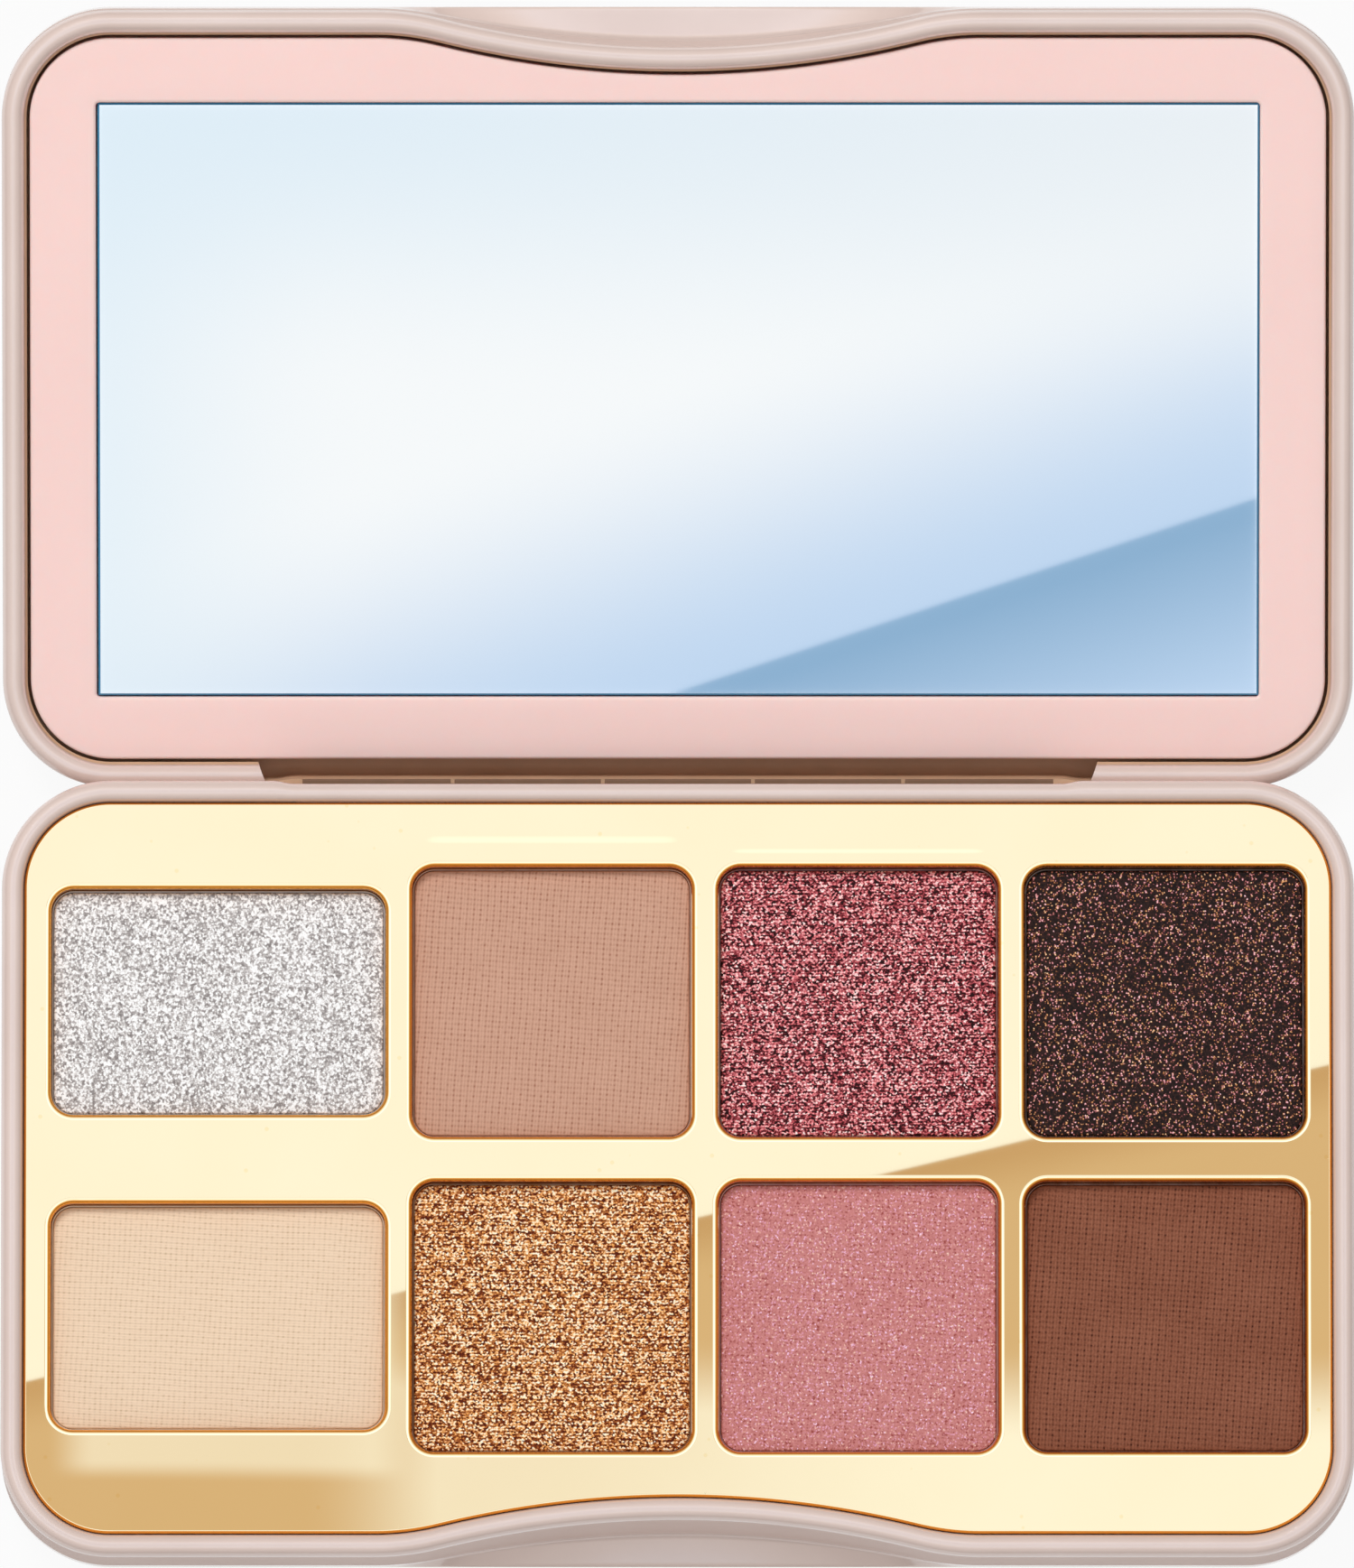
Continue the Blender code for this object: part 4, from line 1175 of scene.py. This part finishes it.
def sky_card():
    """Card with a pale glow, a cooler top and left, and a blue wedge under a slanting line.

    Its map runs from 0 to 1 across and up the mirror, and the wedge's line is rise (across - start).
    """
    material, tree, across, up = card_finish("sky_card")

    def fade(value, low, high, end=1.0):
        """Rise softly from 0 to an end over a range."""
        return stretch(tree, value, low, high, 0.0, end, "SMOOTHSTEP")

    line = calculate(tree, "MULTIPLY", calculate(tree, "SUBTRACT", across, WEDGE_START), WEDGE_RISE)
    above = calculate(tree, "SUBTRACT", up, line)
    sky = mix_colours(tree, fade(above, GLOW_LOW, GLOW_HIGH), SKY_BLUE, SKY_PALE)
    cool = mix_colours(tree, across, SKY_LEFT, SKY_RIGHT)
    sky = mix_colours(tree, fade(up, TOP_LOW, TOP_HIGH), sky, cool)
    sky = mix_colours(tree, fade(across, LEFT_START, LEFT_END, LEFT_SHARE), sky, cool)
    wedge = mix_colours(tree, stretch(tree, above, WEDGE_LOW, WEDGE_HIGH), WEDGE_LIGHT, WEDGE_DEEP)
    show_card(tree, mix_colours(tree, stretch(tree, above, -WEDGE_SOFT, WEDGE_SOFT), wedge, sky))
    x = np.linspace(mirror_low[0], mirror_high[0], CARD_POINTS)
    y = np.linspace(mirror_high[1], mirror_low[1], CARD_POINTS)
    points = open_lid(with_heights(np.stack(np.meshgrid(x, y), axis=-1), mirror_high[2]))
    normal = np.cross(points[0, -1] - points[0, 0], points[-1, 0] - points[0, 0])
    normal /= np.linalg.norm(normal)
    share = np.linspace(0, 1, CARD_POINTS)
    spots = np.stack(np.meshgrid(share, share), axis=-1)
    add_card("sky_card", mirrored(points, normal, CARD_HEIGHT), spots, material)


sky_card()

# %% [markdown]
# ## The pans
#
# Each powder was pressed into a thin tinplate pan. Little of a pan shows: a narrow lip round the powder,
# just under its top, dusted with it and painted darker than the powder as shade. A section carried round a
# rounded rectangle gives the drawn cup its rounded foot and lip.

# %% Tinplate
TIN_DARK = (0.55, 0.52, 0.54, 1.0)
TIN_LIGHT = (0.72, 0.69, 0.72, 1.0)
LIP_DUST_AND_SHADE_LEAST = 0.85


def tinplate_finish(shade, dust):
    """Bare tinplate with faint mottling, mostly covered by its powder's dust, given darker as painted shade."""
    material, tree, shader, place = new_finish(f"tinplate_{shade}")
    cloud, ripple = uneven(tree, place, 900.0, 7000.0)
    share = stretch(tree, cloud, 0.35, 0.65, LIP_DUST_AND_SHADE_LEAST, 1.0)
    tin = mix_colours(tree, ripple, TIN_DARK, TIN_LIGHT)
    plug(tree, mix_colours(tree, share, tin, (*dust, 1)), shader.inputs["Base Color"])
    plug(tree, calculate(tree, "SUBTRACT", 1.0, share), shader.inputs["Metallic"])
    plug(tree, stretch(tree, cloud, 0.3, 0.7, 0.3, 0.45), shader.inputs["Roughness"])
    raise_bump(tree, shader, ripple, 0.08, 0.00005)
    return material


# Each lip's dust is its powder's colour darkened to about six tenths, as painted shade.
LIP_DUST_AND_SHADE = {
    "silver": (0.40, 0.37, 0.36), "tan": (0.40, 0.22, 0.155),
    "red": (0.17, 0.050, 0.060), "dark": (0.05, 0.028, 0.025),
    "cream": (0.64, 0.49, 0.35), "copper": (0.22, 0.085, 0.025),
    "rose": (0.40, 0.165, 0.155), "brown": (0.15, 0.052, 0.030),
}

# %% Eight pans
PAN_SHEET = 0.00014
PAN_FOOT = 0.0006
PAN_GROWTH = 0.00032
PAN_DROP = 0.00072
PAN_FOOT_STEPS = 5
PAN_LIP_STEPS = 8
PAN_SIDE = 40
PAN_CORNER = 8


def pan(shade):
    """One pan: up its outer wall, over its round lip and down its inner wall, capped by its two floors."""
    low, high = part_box(f"pan_{shade}")
    centre, half = middle_and_half(f"pan_{shade}")
    half = half + PAN_GROWTH
    lip = PAN_SHEET / 2
    section = np.concatenate([
        arc((PAN_FOOT, low.z + PAN_FOOT), PAN_FOOT, 270, 180, PAN_FOOT_STEPS),
        arc((lip, high.z - PAN_DROP - lip), lip, 180, 0, PAN_LIP_STEPS),
        arc((PAN_FOOT, low.z + PAN_FOOT), PAN_FOOT - PAN_SHEET, 180, 270, PAN_FOOT_STEPS),
    ])
    corner = WELL_CORNER - PAN_CLEARANCE + PAN_GROWTH
    ring, outward = well_ring(centre, half, corner, PAN_SIDE, PAN_CORNER)
    flat = ring - section[:, 0, None, None] * outward
    points = with_heights(flat, section[:, 1:])
    piece = add_mesh(f"tin_pan_{shade}", points, capped_faces(*flat.shape[:2]))
    dress(piece, f"pan_{shade}", "tinplate", tinplate_finish(shade, LIP_DUST_AND_SHADE[shade]))


for shade_name in SHADES:
    pan(shade_name)

# %% [markdown]
# ## Pressed powder
#
# The press leaves the print of its cloth in every cake: rows of small pits where the threads leave gaps.
# Matt shades show it plainly, and in the shiny ones coarse flakes break it up. The print is real relief in
# a fine grid, and the depth of each pit is kept as an attribute, so that the finish can paint shade into
# the pits. Flakes are the cells of a texture that splits the surface round scattered points, and each cell
# draws its own colour and tilt.

# %% Relief of the cakes
CAKE_STEP = 0.000078
CAKE_ROLL = 0.00014
CAKE_GAP = 0.00003
CAKE_DROP = 0.0004
CAKE_SHARP = 75.0
SEED = 20
PRINT_CELLS = 512
PIT_ACROSS, PIT_ALONG = 0.34, 0.30
PIT_LEAST = 0.55
SECOND_COLUMN = 0.6
WANDER_U, WANDER_U_LENGTH = 0.00006, 0.011
WANDER_V, WANDER_V_LENGTH = 0.00008, 0.013


def wander(x, y, length, phase):
    """Slow wandering between -1 and 1, as three crossing waves."""
    a, b = 2 * math.pi * x / length, 2 * math.pi * y / length
    return (np.sin(a + 1.7 * b + phase) + np.sin(1.6 * a - b + 2.3 * phase) + np.sin(0.6 * a + 0.5 * b)) / 3


def cloth_print(x, y, weave, draw):
    """Depth of the cloth's print between 0 and 1: a soft pit in each cell of a wandering, turned grid.

    A pit is exp(-(du / across)^2 - (dv / along)^2) about the middle of its cell, times a depth drawn for
    that cell. Every second column is shallower, and each column is also a fainter groove along its length.
    """
    pitch_u, pitch_v, turn, line = weave
    cos, sin = math.cos(math.radians(turn)), math.sin(math.radians(turn))
    u = (x * cos + y * sin + WANDER_U * wander(x, y, WANDER_U_LENGTH, 0.3)) / pitch_u
    v = (y * cos - x * sin + WANDER_V * wander(x, y, WANDER_V_LENGTH, 1.9)) / pitch_v
    column, row = np.floor(u).astype(int), np.floor(v).astype(int)
    drawn = draw.random((PRINT_CELLS, PRINT_CELLS))[row % PRINT_CELLS, column % PRINT_CELLS]
    shallow = np.where(column % 2, SECOND_COLUMN, 1.0)
    depth = (PIT_LEAST + (1 - PIT_LEAST) * drawn) * shallow
    groove = np.exp(-((u - column - 0.5) / PIT_ACROSS) ** 2)
    pit = np.exp(-((v - row - 0.5) / PIT_ALONG) ** 2)
    return groove * np.maximum(depth * pit, line * shallow)


def cake_grid(half, corner):
    """Points of a cake's top: rows across a rounded rectangle, each as wide as the outline is there."""
    rows, columns = (int(round(2 * size / CAKE_STEP)) + 1 for size in half[::-1])
    y = np.linspace(-half[1], half[1], rows)
    into = np.clip(np.abs(y) - half[1] + corner, 0, corner)
    reach = half[0] - corner + np.sqrt(corner ** 2 - into ** 2)
    x = np.linspace(-1, 1, columns) * reach[:, None]
    return x, np.broadcast_to(y[:, None], x.shape)


def inside_distance(x, y, half, corner):
    """Distance in from a rounded rectangle's outline."""
    over_x, over_y = np.abs(x) - half[0] + corner, np.abs(y) - half[1] + corner
    beyond = np.hypot(np.maximum(over_x, 0), np.maximum(over_y, 0))
    return corner - beyond - np.minimum(np.maximum(over_x, over_y), 0)


def cake(shade, look):
    """One cake: printed and crumbled top with a rolled edge, a side wall and a flat underside."""
    low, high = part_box(f"cake_{shade}")
    centre, half = middle_and_half(f"pan_{shade}")
    inset = PAN_SHEET + CAKE_GAP - PAN_GROWTH
    half, corner = half - inset, WELL_CORNER - PAN_CLEARANCE - inset
    x, y = cake_grid(half, corner)
    draw = np.random.default_rng(SEED + SHADES.index(shade))
    pits = cloth_print(x, y, look["weave"], draw)
    crumbs = draw.standard_normal(x.shape)
    distance = np.clip(inside_distance(x, y, half, corner), 0, None)
    roll = np.clip(1 - distance / CAKE_ROLL, 0, 1)
    fade = 1 - roll ** 2
    height = high.z - CAKE_DROP - CAKE_ROLL * (1 - np.sqrt(1 - roll ** 2))
    height = height - fade * (look["depth"] * pits + look["crumble"] * np.abs(crumbs))
    top = np.stack([x + centre[0], y + centre[1], height], axis=-1)
    rows, columns = x.shape
    index = np.arange(rows * columns).reshape(rows, columns)
    rim = np.concatenate([index[0, :-1], index[:-1, -1], index[-1, :0:-1], index[:0:-1, 0]])
    foot = top.reshape(-1, 3)[rim] * (1, 1, 0) + (0, 0, low.z)
    under = rows * columns + np.arange(len(rim))
    wall = np.stack([rim, under, np.roll(under, -1), np.roll(rim, -1)], axis=1)
    faces = grid_faces(rows, columns).tolist() + wall.tolist() + [under[::-1].tolist()]
    points = np.concatenate([top.reshape(-1, 3), foot])
    piece = add_mesh(f"powder_{shade}", points, faces, CAKE_SHARP, weld=False)
    depth = np.concatenate([(pits * fade).ravel(), np.zeros(len(rim))])
    piece.data.attributes.new("print", "FLOAT", "POINT").data.foreach_set("value", depth.astype(np.float32))
    dress(piece, f"cake_{shade}", f"powder_{shade}", look["finish"])


# %% Grain and flakes, shared by the powders
TEARS_PER_FLAKE = 1.3
BODY_END, BODY_RIM = 0.20, 0.60


def grain_group():
    """Group: fine powder grain, and slow patches where the press was firmer."""
    inputs = (("Place", "Vector"), ("Fine", "Float"), ("Coarse", "Float"))
    group, given = make_group("powder_grain", inputs, (("Grain", "Float"), ("Patch", "Float")))
    grain = stretch(group, noise(group, given["Place"], given["Fine"], 2.0), 0.25, 0.75)
    patch = stretch(group, noise(group, given["Place"], given["Coarse"], 2.0), 0.25, 0.75)
    add_node(group, "NodeGroupOutput", {"Grain": grain, "Patch": patch})
    return group


def flake_group():
    """Group: flakes as ragged cells round scattered points, seen from above.

    Each flake has two draws, a body that is 1 at its middle and 0 at its rim, and a tilted normal.
    """
    inputs = (("Place", "Vector"), ("Shape", "Vector"),
              ("Count", "Float"), ("Rag", "Float"), ("Tilt", "Float"))
    outputs = (("Draw", "Float"), ("Hue", "Float"), ("Body", "Float"), ("Normal", "Vector"))
    group, given = make_group("flakes", inputs, outputs)

    def vector_step(operation, first, second):
        """Add one step of vector arithmetic and return its result."""
        inputs = {0: first, ("Scale" if operation == "SCALE" else 1): second}
        return add_node(group, "ShaderNodeVectorMath", inputs, operation=operation).outputs[0]

    def centred(colour):
        """Carry a colour's range to -0.5 to 0.5."""
        return vector_step("SUBTRACT", colour, (0.5, 0.5, 0.5))

    tears = calculate(group, "MULTIPLY", given["Count"], TEARS_PER_FLAKE)
    inputs = {"Vector": given["Place"], "Scale": tears, "Detail": 1.0}
    torn = centred(add_node(group, "ShaderNodeTexNoise", inputs).outputs["Color"])
    shaped = vector_step("MULTIPLY", given["Place"], given["Shape"])
    shaped = vector_step("ADD", shaped, vector_step("SCALE", torn, given["Rag"]))
    inputs = {"Vector": shaped, "Scale": given["Count"]}
    cells = add_node(group, "ShaderNodeTexVoronoi", inputs, voronoi_dimensions="2D").outputs
    draws = add_node(group, "ShaderNodeSeparateXYZ", {0: cells["Color"]}).outputs
    lean = vector_step("SCALE", centred(cells["Color"]), given["Tilt"])
    facing = add_node(group, "ShaderNodeNewGeometry").outputs["Normal"]
    leaning = vector_step("ADD", facing, lean)
    normal = add_node(group, "ShaderNodeVectorMath", {0: leaning}, operation="NORMALIZE").outputs[0]
    body = stretch(group, cells["Distance"], BODY_END, BODY_RIM, 1.0, 0.0)
    results = {"Draw": draws["Y"], "Hue": draws["Z"], "Body": body, "Normal": normal}
    add_node(group, "NodeGroupOutput", results)
    return group


GRAIN = grain_group()
FLAKES = flake_group()
print("groups:", UNEVENNESS.name, GRAIN.name, FLAKES.name)

# %% Powder finishes
MATT_GRAIN, MATT_PATCHES = 5200.0, 260.0
MATT_BUMP, MATT_DEPTH = 0.3, 0.00006
GRAIN_SHARE = 0.7
PAINTED_PIT_SHADE = 1.25
FLAKE_PATCHES = 330.0
FLAKE_TILT = 0.3
PATCH_SHARE = 0.05


def print_depth(tree, share):
    """Depth of the cloth's print at each point of a cake, times a share."""
    depth = add_node(tree, "ShaderNodeAttribute", attribute_name="print").outputs["Fac"]
    return calculate(tree, "MULTIPLY", depth, share, clamp=True)


def matt_powder(shade, light, dark, pit):
    """Matt powder: grain between two tones, with painted shade in the pits of the print."""
    material, tree, shader, place = new_finish(f"powder_{shade}", Roughness=0.85, Specular_IOR_Level=0.2)
    grain = use_group(tree, GRAIN, Place=place, Fine=MATT_GRAIN, Coarse=MATT_PATCHES)
    tone = calculate(tree, "MULTIPLY", grain["Grain"], GRAIN_SHARE)
    tone = calculate(tree, "MULTIPLY_ADD", grain["Patch"], 1 - GRAIN_SHARE, tone)
    powder = mix_colours(tree, tone, (*dark, 1), (*light, 1))
    # Painted shade: the colour darkens towards the pit colour by the print's depth.
    powder = mix_colours(tree, print_depth(tree, PAINTED_PIT_SHADE), powder, (*pit, 1))
    plug(tree, powder, shader.inputs["Base Color"])
    raise_bump(tree, shader, grain["Grain"], MATT_BUMP, MATT_DEPTH)
    return material


def flake_powder(shade, tones, metal, fine, grain_share, shape, count, rag, gap, groove):
    """Powder of shiny flakes: each flake draws its tone from one of two rows of colours.

    The tone is the flake's draw with a share of fine grain, less a gap at the flake's rim, and less the print's
    depth as painted shade.
    """
    gloss = {"Metallic": metal, "Roughness": 0.55, "Specular_IOR_Level": 0.2}
    material, tree, shader, place = new_finish(f"powder_{shade}", **gloss)
    grain = use_group(tree, GRAIN, Place=place, Fine=fine, Coarse=FLAKE_PATCHES)
    flake = use_group(tree, FLAKES, Place=place, Shape=shape, Count=count, Rag=rag, Tilt=FLAKE_TILT)
    tone = calculate(tree, "MULTIPLY", flake["Draw"], 1.0 - grain_share)
    tone = calculate(tree, "MULTIPLY_ADD", grain["Grain"], grain_share, tone)
    patch = calculate(tree, "SUBTRACT", grain["Patch"], 0.5)
    rim = calculate(tree, "SUBTRACT", flake["Body"], 1.0)
    tone = calculate(tree, "MULTIPLY_ADD", patch, PATCH_SHARE, tone)
    tone = calculate(tree, "MULTIPLY_ADD", rim, gap, tone)
    # Painted shade: the tone falls by the print's depth, so the pits turn darker.
    tone = calculate(tree, "SUBTRACT", tone, print_depth(tree, groove), clamp=True)
    first, second = (colour_steps(tree, tone, row) for row in tones)
    kind = stretch(tree, flake["Hue"], 0.4, 0.6)
    plug(tree, mix_colours(tree, kind, first, second), shader.inputs["Base Color"])
    plug(tree, flake["Normal"], shader.inputs["Normal"])
    return material


# %% Colours of the shades
SILVER_TONES = (
    ((0.06, (0.24, 0.215, 0.21)), (0.24, (0.42, 0.385, 0.375)), (0.42, (0.74, 0.71, 0.70)),
     (0.56, (1.0, 1.0, 1.0))),
    ((0.06, (0.26, 0.235, 0.23)), (0.28, (0.46, 0.425, 0.415)), (0.46, (0.78, 0.75, 0.74)),
     (0.60, (1.0, 1.0, 1.0))),
)
RED_TONES = (
    ((0.10, (0.012, 0.001, 0.002)), (0.22, (0.14, 0.010, 0.018)), (0.37, (0.52, 0.078, 0.098)),
     (0.53, (0.90, 0.27, 0.28)), (0.69, (1.0, 0.80, 0.77))),
    ((0.10, (0.020, 0.001, 0.002)), (0.22, (0.17, 0.014, 0.020)), (0.37, (0.54, 0.10, 0.12)),
     (0.53, (0.88, 0.34, 0.37)), (0.69, (1.0, 0.88, 0.86))),
)
COPPER_TONES = (
    ((0.03, (0.08, 0.008, 0.001)), (0.14, (0.24, 0.04, 0.004)), (0.28, (0.54, 0.17, 0.030)),
     (0.43, (0.98, 0.48, 0.13)), (0.61, (1.0, 0.93, 0.68))),
    ((0.03, (0.10, 0.012, 0.002)), (0.14, (0.28, 0.06, 0.010)), (0.28, (0.58, 0.21, 0.060)),
     (0.43, (0.98, 0.53, 0.20)), (0.61, (1.0, 0.95, 0.78))),
)
DARK_TONES = (
    ((0.06, (0.006, 0.003, 0.003)), (0.59, (0.034, 0.014, 0.012)), (0.65, (0.22, 0.056, 0.058)),
     (0.72, (0.78, 0.25, 0.27)), (0.82, (1.0, 0.70, 0.76))),
    ((0.06, (0.006, 0.003, 0.003)), (0.61, (0.034, 0.014, 0.012)), (0.67, (0.22, 0.074, 0.034)),
     (0.74, (0.80, 0.34, 0.11)), (0.86, (1.0, 0.82, 0.55))),
)
ROSE_TONES = (
    ((0.00, (0.34, 0.070, 0.062)), (0.16, (0.55, 0.198, 0.190)), (0.54, (0.62, 0.243, 0.236)),
     (0.66, (0.76, 0.34, 0.50)), (0.82, (1.0, 0.74, 0.92))),
    ((0.00, (0.34, 0.070, 0.062)), (0.16, (0.55, 0.198, 0.190)), (0.60, (0.62, 0.243, 0.236)),
     (0.72, (0.82, 0.45, 0.37)), (0.88, (1.0, 0.86, 0.74))),
)

# %% Looks of the shades
EVEN_FLAKE = (1.0, 1.0, 1.0)
WIDE_FLAKE = (0.75, 1.0, 1.0)
FINE_CLOTH = (0.000265, 0.000406, -4)
WIDE_PRINT = {"fine": 5600.0, "grain_share": 0.30, "shape": WIDE_FLAKE, "count": 8000.0, "rag": 0.00007}


def look(cloth, line, depth, crumble, finish):
    """How a cake is printed by a cloth (two pitches and a turn, and its grooves), crumbled and finished."""
    return {"weave": (*cloth, line), "depth": depth, "crumble": crumble, "finish": finish}


# A matt shade's pit colour and a flaky shade's groove share set the painted shade in the print's pits.
LOOKS = {
    "silver": look(FINE_CLOTH, line=0.3, depth=0.000010, crumble=0.000008, finish=flake_powder(
        "silver", SILVER_TONES, metal=0.15, fine=4200.0, grain_share=0.5,
        shape=EVEN_FLAKE, count=6000.0, rag=0.00010, gap=0.15, groove=0.10)),
    "tan": look(FINE_CLOTH, line=0.34, depth=0.000030, crumble=0.000002, finish=matt_powder(
        "tan", light=(0.715, 0.430, 0.318), dark=(0.600, 0.346, 0.246), pit=(0.33, 0.145, 0.090))),
    "red": look((0.000258, 0.000424, 91), line=0.5, depth=0.000025, crumble=0.000008, finish=flake_powder(
        "red", RED_TONES, metal=0.2, **WIDE_PRINT, gap=0.14, groove=0.50)),
    "dark": look(FINE_CLOTH, line=0.2, depth=0.000015, crumble=0.000008, finish=flake_powder(
        "dark", DARK_TONES, metal=0.2, fine=5600.0, grain_share=0.30,
        shape=EVEN_FLAKE, count=7400.0, rag=0.00008, gap=0.16, groove=0.08)),
    "cream": look((0.000220, 0.000419, 87), line=0.42, depth=0.000026, crumble=0.000002, finish=matt_powder(
        "cream", light=(0.96, 0.755, 0.570), dark=(0.88, 0.675, 0.495), pit=(0.58, 0.400, 0.25))),
    "copper": look((0.000258, 0.000424, 89), line=0.5, depth=0.000025, crumble=0.000008, finish=flake_powder(
        "copper", COPPER_TONES, metal=0.2, **WIDE_PRINT, gap=0.14, groove=0.58)),
    "rose": look((0.000261, 0.000424, 87), line=0.25, depth=0.000020, crumble=0.000004, finish=flake_powder(
        "rose", ROSE_TONES, metal=0.1, fine=5600.0, grain_share=0.35,
        shape=EVEN_FLAKE, count=8600.0, rag=0.00008, gap=0.06, groove=0.45)),
    "brown": look(FINE_CLOTH, line=0.34, depth=0.000032, crumble=0.000002, finish=matt_powder(
        "brown", light=(0.385, 0.149, 0.088), dark=(0.215, 0.067, 0.035), pit=(0.045, 0.009, 0.005))),
}

# %% Eight cakes
for shade_name in SHADES:
    cake(shade_name, LOOKS[shade_name])

# %% [markdown]
# ## Pieces that keep their imported shape
#
# The hinge's leaves and pin, the glue and the tapes are right as packed. They only need a finish: a dark
# brown for the hinge, darker than its steel would be as painted shade, so that it sits in the shaded band
# by the hinge, and simple soft finishes for what holds the pans, the tray and the mirror.

# %% Finishes of the small parts
# The hinge's dark brown is darker than its steel, as painted shade that blends it into the shaded hinge band.
SHADED_HINGE_STEEL = clouded_finish(
    "hinge_steel", (0.17, 0.095, 0.055), (0.22, 0.125, 0.075), clouds=700.0, ripples=6000.0,
    bump=0.2, depth=0.00003, Metallic=0.4, Roughness=0.5)
GLUE = clouded_finish(
    "pan_glue", (0.78, 0.70, 0.54), (0.86, 0.80, 0.66), clouds=500.0, ripples=2500.0,
    bump=0.2, depth=0.0001, Roughness=0.35)
FOAM = clouded_finish(
    "foam_tape", (0.78, 0.78, 0.76), (0.86, 0.86, 0.84), clouds=900.0, ripples=5000.0,
    bump=0.2, depth=0.0002, Roughness=0.95)
FILM = clouded_finish(
    "film_tape", (0.72, 0.69, 0.62), (0.80, 0.77, 0.71), clouds=300.0, ripples=3000.0,
    bump=0.2, depth=0.00005, Roughness=0.4)
KEPT_NODES = {
    "base_hinge_leaf": SHADED_HINGE_STEEL, "lid_hinge_leaf": SHADED_HINGE_STEEL, "hinge_pin": SHADED_HINGE_STEEL,
    "tray_tape_rear": FOAM, "tray_tape_front": FOAM,
    "mirror_tape": FILM, "frame_tape_left": FILM, "frame_tape_right": FILM,
    **{f"glue_{shade}": GLUE for shade in SHADES},
}
for node_name, kept_finish in KEPT_NODES.items():
    frame["nodes"][node_name].data.materials.clear()
    frame["nodes"][node_name].data.materials.append(kept_finish)
print(f"{len(KEPT_NODES)} packed pieces keep their shape")
